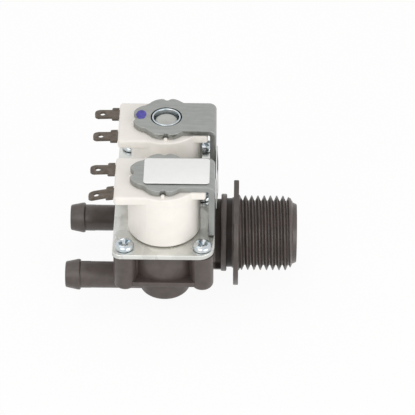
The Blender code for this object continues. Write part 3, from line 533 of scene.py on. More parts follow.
PATTERNED_FINISHES = {
    "moulded_glass_filled_nylon": moulded_nylon, "galvanised_sheet_steel": galvanised_sheet,
    "zinc_plated_sheet_steel": zinc_plated_sheet, "bright_zinc_screw_steel": bright_zinc,
    "ground_stainless_steel": ground_stainless, "wound_enamelled_copper": enamelled_copper,
}

# Each simple finish has its shader settings, its darker and paler tone, its cloud (size, lowest and
# highest noise), its gloss (size, lowest and highest roughness) and its skin (size, detail, depth,
# strength). Sizes and depths are in millimetres.
SIMPLE_FINISHES = {
    # Glass-filled polyester moulded over the winding: opaque white, satin, barely clouded.
    "moulded_white_polyester": (
        {"IOR": 1.55}, ("cover", 0.95), ("cover", 1.0), (5.0, 0.3, 0.7),
        (1.5, 0.4, 0.52), (0.7, 4.0, 0.015, 0.4)),
    # Stamped brass with a thin, dulled coat of tin: brownish grey with a soft shine.
    "dull_tinned_brass": (
        {"Metallic": 1.0}, ("terminal", 0.8), ("terminal", 1.2), (1.4, 0.35, 0.65),
        (0.8, 0.32, 0.48), None),
    # Coated label paper, bare: white and matt, with a fibre grain that only a glancing light shows.
    "coated_label_paper": (
        {"IOR": 1.45}, ("paper", 0.97), ("paper", 1.0), (2.0, 0.3, 0.7),
        (1.0, 0.42, 0.55), (0.6, 6.0, 0.01, 0.4)),
    # Clear polyester film over adhesive: glossy, clouded where the adhesive is thick, and painted pale grey
    # as shade, since its edge is seen edge-on in shadow.
    "polyester_film": (
        {"IOR": 1.57}, ("film", 0.93), ("film", 1.05), (2.2, 0.3, 0.7), (1.4, 0.18, 0.3), None),
    # A dab of marker ink on zinc: thin, so that it is paler where it ran out.
    "marker_ink_on_zinc": (
        {"IOR": 1.45, "Metallic": 0.2}, ("ink", 0.8), ("ink", 1.35), (1.3, 0.35, 0.65),
        (0.9, 0.35, 0.5), None),
    # Moulded nitrile rubber: near black and matt, with the mould's fine texture.
    "moulded_nitrile_rubber": (
        {"IOR": 1.52}, ("#1B1B1B",), ("#2A2A2A",), (2.0, 0.35, 0.65),
        (1.0, 0.62, 0.78), (0.5, 3.0, 0.03, 0.5)),
    # Moulded acetal: dense white with a waxy, even gloss.
    "moulded_white_acetal": (
        {"IOR": 1.48}, ("#E2E2DC",), ("#EBEBE6",), (3.0, 0.3, 0.7), (1.2, 0.28, 0.36), None),
    # Unfilled nylon: cream and slightly waxy.
    "moulded_natural_nylon": (
        {"IOR": 1.53}, ("#E1DCCD", 0.93), ("#E1DCCD", 1.04), (2.5, 0.3, 0.7), (1.2, 0.34, 0.46), None),
    # Lightly filled nylon: pale grey and slightly waxy.
    "moulded_grey_nylon": (
        {"IOR": 1.53}, ("#BDBDB8", 0.93), ("#BDBDB8", 1.04), (2.5, 0.3, 0.7), (1.2, 0.34, 0.46), None),
    # Drawn stainless spring wire: bright along the draw with a faint grey skin.
    "drawn_spring_wire": (
        {"Metallic": 1.0}, ("#9C9C9E",), ("#B9B9BB",), (0.8, 0.35, 0.65), (0.6, 0.18, 0.3), None),
    # Moulded polypropylene: white, a little soft, with flow marks.
    "moulded_polypropylene": (
        {"IOR": 1.49}, ("#DCDCD6",), ("#EBEBE7",), (2.5, 0.3, 0.7), (1.2, 0.36, 0.48), None),
}


def simple_finish(name):
    """A finish of the table: clouded in colour and gloss, with a fine relief where one is given."""
    settings, dark, pale, cloud, polish, fine = SIMPLE_FINISHES[name]
    mat, tree, shader, place = start_material(name, settings)
    mottle(tree, shader, place, tone(*dark), tone(*pale), *cloud)
    gloss(tree, shader, place, *polish)
    if fine:
        skin(tree, shader, place, *fine)
    return mat


def finish_of(name):
    """A finish by name, made the first time it is asked for."""
    return bpy.data.materials.get(name) or PATTERNED_FINISHES.get(name, simple_finish)(name)


def dress(node, mat):
    """Gives a node that stays in view its finish, and shades it smooth without touching its points."""
    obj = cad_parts[node]
    obj.data.materials.clear()
    obj.data.materials.append(mat)
    smooth(obj, 35)


# Valve body

CHAMBER_R = 14.2
CHAMBER_FLOOR = -15.0
BODY_TOP = -2.1
BOSS_R = 3.9
BOSS_BOTTOM = -16.5
RIB_TOP = -13.1
CUP_R = 9.0
CUP_BOTTOM = -27.0
MANIFOLD_R = 11.9
THREAD_R = 13.25
THREAD_ROOT_R = 11.45
THREAD_TURNS = 9
THREAD_FIRST_X = 24.39
INLET_END = 46.2
INLET_BORE = 8.8
TUBE_BORE = 3.2
SCREW_X = 13.3
SCREW_Y = 28.0
SCREW_HOLE_R = 1.8
# Turns over which the thread's ridge rises at its start and fades at its end
THREAD_RAMP = 0.4
# Each boss's place in x and y
BOSSES = [(x, y) for x in (-SCREW_X, SCREW_X) for y in (-SCREW_Y, 0.0, SCREW_Y)]
# Further than this from a valve's middle, a boss has no web to its chamber
WEB_REACH = SCREW_X * 1.8
# The neck's outline from the manifold to the flange, as (radius, place along the inlet)
NECK = [
    (0, -9.0), (9.4, -9.0), *arc(MANIFOLD_R - 2.5, -6.5, 2.5, -90, 0, 6), (MANIFOLD_R, 19.5),
    (13.3, 19.5), (13.6, 19.6), (13.7, 19.9), (13.7, 21.1), (13.6, 21.4), (13.3, 21.5), (12.2, 21.5),
    (12.2, 23.4), (12.5, 23.4), (12.5, 23.9), (18.3, 23.9), (18.52, 24.0), (FLANGE_R, 24.25),
    (FLANGE_R, 25.35), (18.52, 25.6), (18.3, 25.7), (13.4, 25.7), (13.4, 25.9), (13.3, 26.0),
    (11.2, 27.1), (0, 27.1),
]
# The valve room in the middle of each chamber, as (radius, height)
ROOM = [
    (0, -1.1), (13.7, -1.1), (13.7, -5.7), (13.2, -5.7), (13.2, -8.2), (11.6, -8.2), (11.6, -12.6),
    (4.7, -12.6), (4.7, -7.2), (3.5, -7.2), (3.5, OUTLET_Z - TUBE_BORE + 0.5),
    (0, OUTLET_Z - TUBE_BORE + 0.2),
]
# The inlet's bore and the lead-in round its mouth
BORE = [
    (0, INLET_END + 1.0), (INLET_BORE + 1.0, INLET_END + 1.0), (INLET_BORE + 0.35, INLET_END),
    (INLET_BORE, 45.8), (INLET_BORE, 27.0), (7.5, 27.0), (7.5, -3.0), (0, -5.0),
]
LEAD_IN = [
    (0, INLET_END), (0, 48.0), (16.0, 48.0), (16.0, 42.2), (13.4, 42.2), (12.2, 44.2), (11.4, 44.6),
    (10.85, 44.8), (10.45, 45.8), (10.3, 46.1), (10.1, INLET_END),
]


def thread_ridge(name, pitch, steps=FACETS):
    """The inlet's outer thread: a solid rod along X with one right-hand, round-crested ridge."""
    # Each pair holds a line's place in the pitch and its share of the thread's height.
    section = ((0.0, 0.0), (0.1, 0.02), (0.34, 0.74), (0.43, 0.97), (0.5, 1.0), (0.57, 0.97), (0.66, 0.74),
               (0.9, 0.02))
    bm = bmesh.new()
    depth = THREAD_R - THREAD_ROOT_R
    per_turn = len(section)
    last = steps - 1

    def point(x, radius, i):
        a = 2 * math.pi * i / steps
        return bm.verts.new((x, radius * math.cos(a), radius * math.sin(a)))

    lines = []
    for turn in range(THREAD_TURNS + 1):
        for share, height in section:
            line = []
            for i in range(steps if turn < THREAD_TURNS else 1):
                along = turn + i / steps
                rise = min(1.0, along / THREAD_RAMP, (THREAD_TURNS - along) / THREAD_RAMP)
                radius = THREAD_ROOT_R + depth * rise * height
                line.append(point(THREAD_FIRST_X + pitch * (along + share), radius, i))
            lines.append(line)
    tail = THREAD_TURNS * per_turn - 1
    for row in range(tail):
        for i in range(last):
            bm.faces.new((lines[row][i], lines[row + 1][i], lines[row + 1][i + 1], lines[row][i + 1]))
        after = row + per_turn
        bm.faces.new((lines[row][last], lines[row + 1][last], lines[after + 1][0], lines[after][0]))
    start = [point(THREAD_FIRST_X, THREAD_ROOT_R, i) for i in range(steps)]
    finish = THREAD_FIRST_X + pitch * (THREAD_TURNS + 1) + 0.1
    ends = [[point(x, THREAD_ROOT_R, i) for i in range(steps)] for x in (finish, INLET_END + 1.0)]
    for i in range(last):
        bm.faces.new((start[i], lines[0][i], lines[0][i + 1], start[i + 1]))
    seam = [lines[row][0] for row in range(per_turn, -1, -1)]
    bm.faces.new([start[last], lines[0][last]] + seam + [start[0]])
    for i in range(1, last):
        bm.faces.new((lines[tail][i], ends[0][i], ends[0][i + 1], lines[tail][i + 1]))
    bm.faces.new((lines[tail][last], ends[0][last], ends[0][0], lines[tail + per_turn][0]))
    seam = [lines[tail + k][0] for k in range(per_turn + 1)]
    bm.faces.new(seam + [ends[0][0], ends[0][1], lines[tail][1]])
    for i in range(steps):
        k = (i + 1) % steps
        bm.faces.new((ends[0][i], ends[1][i], ends[1][k], ends[0][k]))
    bm.faces.new(start)
    bm.faces.new(ends[-1])
    return new_object(name, bm)


def barb_profile(low):
    """One hose barb along X: tube, ramp with a sharp catch, and a rounded mouth."""
    return [
        (0, -5.0), (3.95, -5.0), (4.3, -5.3), (4.68, -6.4), (4.68, low + 8.9), (4.75, low + 8.75),
        (4.75, low + 5.35), (5.2, low + 5.2), (5.4, low + 4.9), (5.4, low + 4.3), (4.62, low + 0.45),
        (4.5, low + 0.15), (4.3, low), (0, low),
    ]


def body_pieces(pitch):
    """The solids that the moulding is united from, about the plate's middle."""
    pieces = [shift(thread_ridge("thread", pitch), z=INLET_Z)]
    rib = rounded_rectangle(-11.5, -31.3, 11.5, 31.3, left=1.5, right=1.5, steps=6)
    pieces.append(slab("rib", rib, CHAMBER_FLOOR + 0.02, RIB_TOP, edge=0.25))
    # Each round piece has its own count of steps or phase, so that no two walls share a plane in the union.
    for _, y in VALVES:
        pieces.append(shift(turned("chamber", disc(CHAMBER_R, CHAMBER_FLOOR - 0.02, BODY_TOP + 0.9)), y=y))
        cup = disc(CUP_R, CUP_BOTTOM, CHAMBER_FLOOR + 1.1, rounding=1.6)
        pieces.append(shift(turned("cup", cup, steps=80, phase=0.02), y=y))
        barb = turned("barb", barb_profile(BODY_LOW.x), steps=48, along="X")
        pieces.append(shift(barb, y=y, z=OUTLET_Z))
    for x, y in BOSSES:
        boss = disc(BOSS_R, BOSS_BOTTOM, BODY_TOP + 0.7, rounding=1.6)
        pieces.append(shift(turned("boss", boss, steps=40, phase=0.12), x=x, y=y))
        for _, cy in VALVES:
            reach = Vector((x, y - cy))
            if reach.length > WEB_REACH:
                continue
            turn = math.atan2(reach.y, reach.x)
            low = (CHAMBER_R - 2.0, -2.2, BOSS_BOTTOM + 2.2)
            high = (reach.length, 2.2, BODY_TOP - 0.6)
            pieces.append(block("web", low, high, turn, (0, cy, 0)))
    for angle in (-35, 215):
        gusset = block("gusset", (14.7, -0.9, 10.9), (19.8, 0.9, 13.4))
        gusset.data.transform(Matrix.Rotation(math.pi / 2 - math.radians(angle), 4, "X"))
        pieces.append(shift(gusset, z=INLET_Z))
    return pieces


def body_cutters():
    """What is cut from the moulding: its top, the inlet bore, the valve rooms and the outlets."""
    cutters = [block("top", (-60, -60, BODY_TOP), (60, 60, BODY_TOP + 5.0))]
    cutters.append(shift(turned("bore", BORE, along="X"), z=INLET_Z))
    # The lead-in is cut through the thread's last turn, as on a moulded thread.
    cutters.append(shift(turned("lead_in", LEAD_IN, along="X"), z=INLET_Z))
    low = BODY_LOW.x
    outlet = [
        (0, 0.9), (TUBE_BORE, 0.9), (TUBE_BORE, low + 0.3), (TUBE_BORE + 0.3, low),
        (TUBE_BORE + 1.0, low - 1.0), (0, low - 1.0),
    ]
    for _, y in VALVES:
        cutters.append(shift(turned("room", ROOM, steps=72), y=y))
        cutters.append(shift(turned("outlet", outlet, steps=40, along="X"), y=y, z=OUTLET_Z))
    for x, y in BOSSES:
        hole = disc(SCREW_HOLE_R, -14.0, BODY_TOP + 1.0)
        cutters.append(shift(turned("hole", hole, steps=20, phase=0.2), x=x, y=y))
    return cutters


class VALVE_OT_body(bpy.types.Operator):
    """Moulds the valve body with its thread, flange, bosses and barbs"""

    bl_idname = "valve.body"
    bl_label = "Valve body"

    def execute(self, context):
        mat = finish_of("moulded_glass_filled_nylon")
        body = shift(turned("body_moulding", NECK, mat, steps=128, along="X"), z=INLET_Z)
        combine(body, body_pieces(context.scene.valve_sizes.thread_pitch / MM), "UNION")
        combine(body, body_cutters(), "DIFFERENCE")
        settle(body, "valve", "body", "valve_body")
        return {"FINISHED"}


# Base plate

class VALVE_OT_base_plate(bpy.types.Operator):
    """Cuts the galvanised base plate with its holes and notches"""

    bl_idname = "valve.base_plate"
    bl_label = "Base plate"

    def execute(self, context):
        mat = finish_of("galvanised_sheet_steel")
        low, high = span("base_plate")
        outline = rounded_rectangle(low.x, low.y, high.x, high.y, left=3.0, right=5.5, steps=14)
        edge = context.scene.valve_sizes.sheet_edge / MM
        plate = slab("base_plate_sheet", outline, low.z, high.z, edge, mat)
        cutters = []
        for _, y in VALVES:
            cutters.append(shift(turned("hole", disc(4.4, low.z - 1, high.z + 1), steps=64), y=y))
            corners = ((high.x - 2.4, -3.3, low.z - 1), (high.x + 1, 3.3, high.z + 1))
            cutters.append(block("slot", *corners, at=(0, y, 0)))
        for name in SCREWS:
            place = middle(name)
            hole = turned("hole", disc(SCREW_HOLE_R, low.z - 1, high.z + 1), steps=32)
            cutters.append(shift(hole, place.x, place.y))
        combine(plate, cutters, "DIFFERENCE")
        settle(plate, "valve", "plate", "base_plate")
        return {"FINISHED"}


# Yokes

YOKE_SHEET = 2.1
# The lobed end's radius at angles in degrees from the inlet's side, on one half
LOBES = (
    (0, 9.0), (20, 9.0), (50, 10.0), (60, 10.2), (75, 10.7), (83, 10.4), (88, 9.6), (92, 9.6), (97, 10.4),
    (108, 10.6), (120, 10.3), (129, 9.9), (137, 9.9), (145, 10.7), (155, 11.4), (164, 11.8), (168, 11.7),
    (175, 10.3), (180, 10.2),
)


def lobed_radius(angle):
    """The radius of the yoke's lobed end at an angle in degrees from the inlet's side."""
    for k in range(len(LOBES) - 1):
        (a1, r1), (a2, r2) = LOBES[k], LOBES[k + 1]
        if a1 <= angle <= a2:
            a0, r0 = LOBES[max(0, k - 1)]
            a3, r3 = LOBES[min(len(LOBES) - 1, k + 2)]
            width = a2 - a1
            s = (angle - a1) / width
            m1 = (r2 - r0) / max(1, a2 - a0) * width
            m2 = (r3 - r1) / max(1, a3 - a1) * width
            value = (2 * s**3 - 3 * s**2 + 1) * r1 + (s**3 - 2 * s**2 + s) * m1
            value += (3 * s**2 - 2 * s**3) * r2 + (s**3 - s**2) * m2
            return min(max(r1, r2), max(min(r1, r2), value))
    return LOBES[-1][1]


def yoke_end():
    """The outline of the yoke's lobed end, against the clock, every 2 degrees."""
    points = []
    for step in range(180):
        angle = step * 2
        radius = lobed_radius(angle if angle <= 180 else 360 - angle)
        points.append((radius * math.cos(math.radians(angle)), radius * math.sin(math.radians(angle))))
    return points


def bent_strip(high, edge, thickness=YOKE_SHEET, bend=2.6, half=8.2, gap=0.3):
    """The yoke's arm, bend and leg as one strip with rounded long edges."""
    inner = bend - thickness
    cx = high.x - bend
    cz = high.z - bend
    strip = [(4.0, high.z - thickness + 0.01), (high.x - thickness - inner, high.z - thickness + 0.01)]
    strip += arc(cx, cz, inner, 90, 0, 4)[1:]
    strip += [(high.x - thickness, gap), (high.x, gap)]
    strip += arc(cx, cz, bend, 0, 90, 14)
    strip += [(4.0, high.z)]
    strip = [(x, z - 0.005) for x, z in strip]
    leg = slab("leg", strip, -half, half, edge)
    leg.data.transform(Matrix.Rotation(math.pi / 2, 4, "X"))
    return leg


class VALVE_OT_yokes(bpy.types.Operator):
    """Bends the two zinc-plated yokes with their lobed ends"""

    bl_idname = "valve.yokes"
    bl_label = "Yokes"

    def execute(self, context):
        mat = finish_of("zinc_plated_sheet_steel")
        edge = context.scene.valve_sizes.sheet_edge / MM
        for side, y in VALVES:
            low, high = span("yoke_" + side)
            top = slab("yoke_sheet_" + side, yoke_end(), high.z - YOKE_SHEET, high.z, edge * 0.8, mat)
            tab = block("tab", (high.x - YOKE_SHEET, -3.0, low.z), (high.x, 3.0, 1.3))
            combine(top, [bent_strip(high, edge), tab], "UNION")
            hole = turned("hole", disc(5.5, high.z - 3.1, high.z + 1.0))
            over, under = high.z + 0.3, high.z - 0.2
            cutters = [hole, turned("rim", [(0, over), (5.9, over), (5.4, under), (0, under)])]
            for way in (-1, 1):
                corner = [(way * 6.0, 0.3), (way * 6.0, -1.0), (way * 9.2, -1.0), (way * 9.2, 3.5)]
                wedge = slab("corner", corner if way > 0 else corner[::-1], high.x - 3.1, high.x + 1.0)
                wedge.data.transform(Matrix(((0, 0, 1), (1, 0, 0), (0, 1, 0))).to_4x4())
                cutters.append(wedge)
            combine(top, cutters, "DIFFERENCE")
            settle(shift(top, y=y), "valve", "zinc", "yoke_" + side)
        return {"FINISHED"}


# Coil covers

def flange_outline(left, half, tongue, right):
    """What stands out from the coil's cylinder: a square flange for the terminals, and a tongue."""
    upper = arc(right - 1.0, tongue - 1.0, 1.0, 0, 90, 6)
    upper += [(5.2, tongue), (3.0, half)]
    upper += arc(left + 1.2, half - 1.2, 1.2, 90, 180, 8)
    return upper + [(x, -y) for x, y in reversed(upper)]


class VALVE_OT_coil_covers(bpy.types.Operator):
    """Moulds the two white coil covers with their terminal flanges"""

    bl_idname = "valve.coil_covers"
    bl_label = "Coil covers"

    def execute(self, context):
        mat = finish_of("moulded_white_polyester")
        edge = context.scene.valve_sizes.coil_edge / MM
        for side, y in VALVES:
            shell = [(0, 20.8), *arc(12.0, 20.3, 0.5, 90, 0, 5), *arc(12.0, 0.9, 0.5, 0, -90, 5), (0, 0.4)]
            cover = turned("coil_cover_" + side, shell, mat, steps=128)
            flange = flange_outline(left=-16.7, half=11.3, tongue=8.0, right=14.6)
            joined = [slab("flange", flange, low=17.4, high=20.81, edge=edge, steps=5)]
            for lx, ly in ((-11.2, 0), (0, -10.7), (0, 10.7)):
                lug = [(0, 21.8), (0.4, 21.8), (0.6, 21.65), (0.68, 21.4), (0.72, 20.3), (0, 20.3)]
                joined.append(shift(turned("lug", lug, steps=24), lx, ly))
            combine(cover, joined, "UNION")
            cavity = [(0, 21.8), (5.4, 21.8), (5.4, 17.2), (11.7, 17.2), (11.7, 1.1), (5.4, 1.1),
                      (5.4, -0.6), (0, -0.6)]
            cutters = [turned("cavity", cavity)]
            for row in (-1, 1):
                low = (-17.7, row * 6.4 - 2.3, 18.45)
                high = (-14.4, row * 6.4 + 2.3, 19.85)
                cutters.append(block("pocket", low, high))
            combine(cover, cutters, "DIFFERENCE")
            settle(shift(cover, y=y), "valve", "white", "coil_casing_" + side)
        return {"FINISHED"}


# Terminals

BLADE_HALF = 0.4
# How far each blade droops outside its cover, in degrees
TERMINALS = {
    "terminal_front_outer": 13.0, "terminal_front_inner": 2.5, "terminal_rear_inner": 2.5,
    "terminal_rear_outer": 2.0,
}


class VALVE_OT_terminals(bpy.types.Operator):
    """Stamps the four tab terminals"""

    bl_idname = "valve.terminals"
    bl_label = "Terminals"

    def execute(self, context):
        mat = finish_of("dull_tinned_brass")
        face, neck, tip, root = -17.0, -19.3, -25.3, -14.7
        outline = [(root, -2.0), (root, 2.0), (face, 2.0), (face, 3.15)]
        outline += arc(neck + 0.5, 2.65, 0.5, 90, 180, 4)
        outline += [(neck, 2.0), (tip + 1.4, 2.0)]
        outline += arc(tip + 1.4, 0.6, 1.4, 90, 180, 6)
        outline += [(x, -y) for x, y in reversed(outline[2:])]
        for name, droop in TERMINALS.items():
            low, high = span(name)
            blade = slab(name + "_blade", outline[::-1], -BLADE_HALF, BLADE_HALF, 0.12, mat, steps=2)
            eye = shift(turned("hole", disc(1.0, -1, 1), steps=32), x=tip + 2.6)
            combine(blade, [eye], "DIFFERENCE")
            for vertex in blade.data.vertices:
                beyond = (face - 0.6) * MM - vertex.co.x
                if beyond > 0:
                    vertex.co.z -= beyond * math.tan(math.radians(droop))
            settle(shift(blade, y=(low.y + high.y) / 2, z=high.z - BLADE_HALF), "valve", "terminal", name)
        return {"FINISHED"}


# Screws

class VALVE_OT_screws(bpy.types.Operator):
    """Forms the six pan-head screws with cross recesses"""

    bl_idname = "valve.screws"
    bl_label = "Screws"

    def execute(self, context):
        mat = finish_of("bright_zinc_screw_steel")
        for index, name in enumerate(SCREWS):
            low, high = span(name)
            top = high.z
            head = [
                (0, top), (1.2, top - 0.03), (2.0, top - 0.18), (2.7, top - 0.55), (3.1, top - 1.0),
                (3.28, top - 1.45), (3.3, top - 1.8), (3.22, top - 2.1), (3.1, top - 2.2),
                (1.5, top - 2.2), (1.5, low.z + 1.2), (0, low.z),
            ]
            screw = turned(name + "_bright", head, mat, steps=64)
            arms = []
            for turn in (0, 90):
                bm = bmesh.new()
                # A cross recess's arm narrows from its mouth to its floor.
                close_rings(bm, [
                    [bm.verts.new((x, y, top + z)) for x, y in
                     ((long, wide), (-long, wide), (-long, -wide), (long, -wide))]
                    for z, long, wide in ((0.5, 2.5, 0.85), (-0.5, 1.8, 0.55), (-1.5, 0.5, 0.32))
                ])
                arm = new_object("arm", bm)
                arm.data.transform(Matrix.Rotation(math.radians(25 + 37 * index + turn), 4, "Z"))
                arms.append(arm)
            combine(screw, arms, "DIFFERENCE")
            place = middle(name)
            settle(shift(screw, place.x, place.y), "valve", "screw", name)
        return {"FINISHED"}


# Labels and ink

class VALVE_OT_labels(bpy.types.Operator):
    """Sticks the two bare labels and adds the ink mark"""

    bl_idname = "valve.labels"
    bl_label = "Labels and ink"

    def execute(self, context):
        paper = finish_of("coated_label_paper")
        low, high = span("label")
        outline = rounded_rectangle(low.x, low.y, high.x, high.y, left=1.2, right=1.2)
        sheet = slab("top_label", outline, low.z, high.z, edge=0.05, mat=paper, steps=2)
        settle(sheet, "valve", "paper", "label")
        # The edge strip's film is painted grey as shade.
        dress("edge_label", finish_of("polyester_film"))
        length = context.scene.valve_sizes.ink_length / MM
        top = span("yoke_rear")[1].z
        edge = []
        for step in range(40):
            a = 2 * math.pi * step / 40
            ragged = 1 + 0.1 * noise.noise(Vector((math.cos(a) * 1.7, math.sin(a) * 1.7, 0.4)))
            edge.append((length * 0.36 * math.cos(a) * ragged, length / 2 * math.sin(a) * ragged))
        ink = slab("ink_mark", edge, top + 0.01, top + 0.05, mat=finish_of("marker_ink_on_zinc"))
        settle(shift(ink, -8.8, VALVES[1][1] + 1.0), "valve", "zinc")
        return {"FINISHED"}


# Pole sleeves and guide tubes

class VALVE_OT_sleeves(bpy.types.Operator):
    """Turns the upper pole sleeves and the guide tubes that show in the yokes' holes"""

    bl_idname = "valve.sleeves"
    bl_label = "Sleeves and guide tubes"

    def execute(self, context):
        zinc = finish_of("zinc_plated_sheet_steel")
        bright = finish_of("bright_zinc_screw_steel")
        guide = finish_of("moulded_grey_nylon")
        for side, y in VALVES:
            low, high = span("upper_pole_sleeve_" + side)
            rim = [(4.4, high.z - 0.3), *arc(4.75, high.z - 0.35, 0.35, 180, 0, 8), (5.1, low.z),
                   (4.4, low.z)]
            sleeve = turned("pole_sleeve_" + side, rim, bright)
            settle(shift(sleeve, y=y), "valve", "zinc", "upper_pole_sleeve_" + side)
            dress("lower_pole_sleeve_" + side, zinc)
            low, high = span("guide_tube_" + side)
            top = high.z
            tube = [
                (0, top - 0.7), (0.8, top - 0.66), (1.7, top - 0.35), (2.5, top - 0.08), (3.1, top),
                (3.6, top - 0.12), (3.9, top - 0.4), (4.1, top - 1.0), (4.1, BODY_TOP), (13.4, BODY_TOP),
                (13.4, low.z), (11.2, low.z), (11.2, -3.1), (3.4, -3.1), (3.4, top - 1.5), (0, top - 1.5),
            ]
            piece = turned("guide_tube_moulding_" + side, tube, guide)
            settle(shift(piece, y=y), "valve", "guide", "guide_tube_" + side)
        return {"FINISHED"}


# Strainer and flow washer

class VALVE_OT_strainer(bpy.types.Operator):
    """Moulds the strainer in the inlet and the flow washer behind it"""

    bl_idname = "valve.strainer"
    bl_label = "Strainer"

    def execute(self, context):
        mat = finish_of("moulded_polypropylene")
        low, high = span("inlet_screen")
        flange, end = low.x, high.x
        profile = [
            (5.3, flange), (8.5, flange), (8.5, flange + 1.0), (8.3, flange + 1.2), (6.2, flange + 1.2),
            (5.4, end - 0.8), (5.15, end - 0.3), (4.6, end), (0, end), (0, end - 0.9), (4.3, end - 1.5),
        ]
        screen = turned("inlet_strainer", profile, mat, steps=80, along="X")
        slots = []
        for turn in range(5):
            slot = block("slot", (flange + 2.4, -0.8, -7.2), (end - 2.4, 0.8, 7.2))
            slot.data.transform(Matrix.Rotation(math.pi / 5 * turn, 4, "X"))
            slots.append(slot)
        combine(screen, slots, "DIFFERENCE")
        settle(shift(screen, z=INLET_Z), "valve", "screen", "inlet_screen")
        dress("flow_regulator", finish_of("moulded_nitrile_rubber"))
        return {"FINISHED"}


# What moves and what is wound, inside

def helix(name, radius, thick, low, high, turns, mat):
    """A coil spring of round wire between two heights."""
    bm = bmesh.new()
    per_turn, around = 28, 8
    count = turns * per_turn
    rings = []
    for i in range(count + 1):
        a = 2 * math.pi * i / per_turn
        z = low + thick / 2 + (high - low - thick) * i / count
        centre = Vector((radius * math.cos(a), radius * math.sin(a), z))
        out = Vector((math.cos(a), math.sin(a), 0))
        ring = []
        for k in range(around):
            t = 2 * math.pi * k / around
            rise = Vector((0, 0, thick / 2 * math.sin(t)))
            ring.append(bm.verts.new(centre + out * (thick / 2 * math.cos(t)) + rise))
        rings.append(ring)
    close_rings(bm, rings)
    return new_object(name, bm, mat)


class VALVE_OT_inner_parts(bpy.types.Operator):
    """Finishes the plungers, springs, diaphragms, bobbins and windings inside"""

    bl_idname = "valve.inner_parts"
    bl_label = "Inner parts"

    def execute(self, context):
        rubber = finish_of("moulded_nitrile_rubber")
        finishes = {
            "plunger_": finish_of("ground_stainless_steel"),
            "plunger_seal_": rubber,
            "diaphragm_insert_": finish_of("moulded_white_acetal"),
            "bobbin_": finish_of("moulded_natural_nylon"),
            "winding_": finish_of("wound_enamelled_copper"),
        }
        wire = finish_of("drawn_spring_wire")
        for side, y in VALVES:
            for node, mat in finishes.items():
                dress(node + side, mat)
            low, high = span("plunger_spring_" + side)
            spring = helix("return_spring_" + side, radius=1.6, thick=0.45, low=low.z, high=high.z,
                           turns=5, mat=wire)
            settle(shift(spring, y=y), "valve", "spring", "plunger_spring_" + side)
            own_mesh(spring)
            low, high = span("diaphragm_" + side)
            top = high.z
            pad = [(1.9, top), (5.0, top), (5.2, top - 0.2), (5.2, top - 1.0), (5.0, top - 1.2),
                   (1.9, top - 1.2)]
            piece = turned("diaphragm_pad_" + side, pad, rubber, steps=64)
            settle(shift(piece, y=y), "insert_" + side, "rubber", "diaphragm_" + side)
            web = [
                (5.3, top - 0.3), (6.4, top - 0.5), (8.2, top - 1.2), (10.6, top - 0.6), (11.8, top),
                (12.9, top), (12.9, low.z), (11.8, low.z), (10.6, top - 1.4), (8.2, top - 2.0),
                (6.4, top - 1.3), (5.3, top - 1.1),
            ]
            piece = turned("diaphragm_web_" + side, web, rubber, steps=72)
            settle(shift(piece, y=y), "valve", "rubber", "diaphragm_" + side)
        return {"FINISHED"}


# Stage

# The photograph's frame in pixels: its side, where the plate's middle falls, and the lens
IMAGE = 415
ORIGIN_PIXEL = (165.7, 196.5)
FOCAL_PIXELS = 2522
SENSOR = 36.0
# Each lamp's share of the key's power, its size, and its place in metres from the plate's middle
LAMPS = (
    ("key", 1.0, 0.7, (-0.3, -0.68, 0.55)), ("fill", 2.0, 0.8, (0.75, -0.75, 0.3)),
    ("top", 0.45, 0.7, (-0.35, 0.1, 0.9)),
)
FLOOR_REACH = 6.0
FLOOR_DROP = 0.0002
# The share of the floor's look that is plain white
PLAIN_WHITE = 0.93


def seen(tree):
    """1 where the camera or a reflection looks, and 0 where light falls on the object."""
    path = add_node(tree, "ShaderNodeLightPath")
    rays = {0: path.outputs["Is Camera Ray"], 1: path.outputs["Is Glossy Ray"]}
    return add_node(tree, "ShaderNodeMath", {"operation": "MAXIMUM"}, rays).outputs[0]


def floor_material():
    """Matt white board: mostly plain white to the eye, with enough real shade for a soft shadow."""
    mat = bpy.data.materials.new("matt_white_board")
    mat.use_nodes = True
    tree = mat.node_tree
    tree.nodes.clear()
    share = add_node(tree, "ShaderNodeMath", {"operation": "MULTIPLY", 1: PLAIN_WHITE}, {0: seen(tree)})
    board = add_node(tree, "ShaderNodeBsdfDiffuse", {"Color": linear("#F2F2F0")})
    white = add_node(tree, "ShaderNodeEmission", {"Strength": 1.0})
    mix = add_node(tree, "ShaderNodeMixShader", {}, {"Fac": share.outputs[0], 1: board.outputs[0],
                                                     2: white.outputs[0]})
    add_node(tree, "ShaderNodeOutputMaterial", {}, {"Surface": mix.outputs[0]})
    return mat


def lamp(name, watts, size, place):
    """A square softbox that faces the plate's middle, with its place in metres from there."""
    light = bpy.data.lights.new(name, "AREA")
    light.energy = watts
    light.size = size
    obj = add_object(name, light)
    obj.location = PLATE_CENTRE + Vector(place)
    obj.rotation_euler = (-Vector(place)).to_track_quat("-Z", "Y").to_euler()


def aim_camera(stage):
    """Puts the camera where the plate's middle falls on its pixel in the photograph's frame."""
    az, el = stage.azimuth, stage.elevation
    right = Vector((math.cos(az), math.sin(az), 0))
    forward = Vector((-math.sin(az) * math.cos(el), math.cos(az) * math.cos(el), -math.sin(el)))
    up = right.cross(forward)
    per_metre = FOCAL_PIXELS / stage.distance
    across = (ORIGIN_PIXEL[0] - IMAGE / 2) / per_metre
    above = (IMAGE / 2 - ORIGIN_PIXEL[1]) / per_metre
    data = bpy.data.cameras.new("camera")
    data.sensor_width = SENSOR
    data.lens = FOCAL_PIXELS * SENSOR / IMAGE
    data.clip_start = 0.01
    data.clip_end = 20
    camera = add_object("camera", data)
    spot = PLATE_CENTRE - right * across - up * above - forward * stage.distance
    turn = Matrix((right, up, -forward)).transposed().to_4x4()
    camera.matrix_world = Matrix.Translation(spot) @ turn
    bpy.context.scene.camera = camera


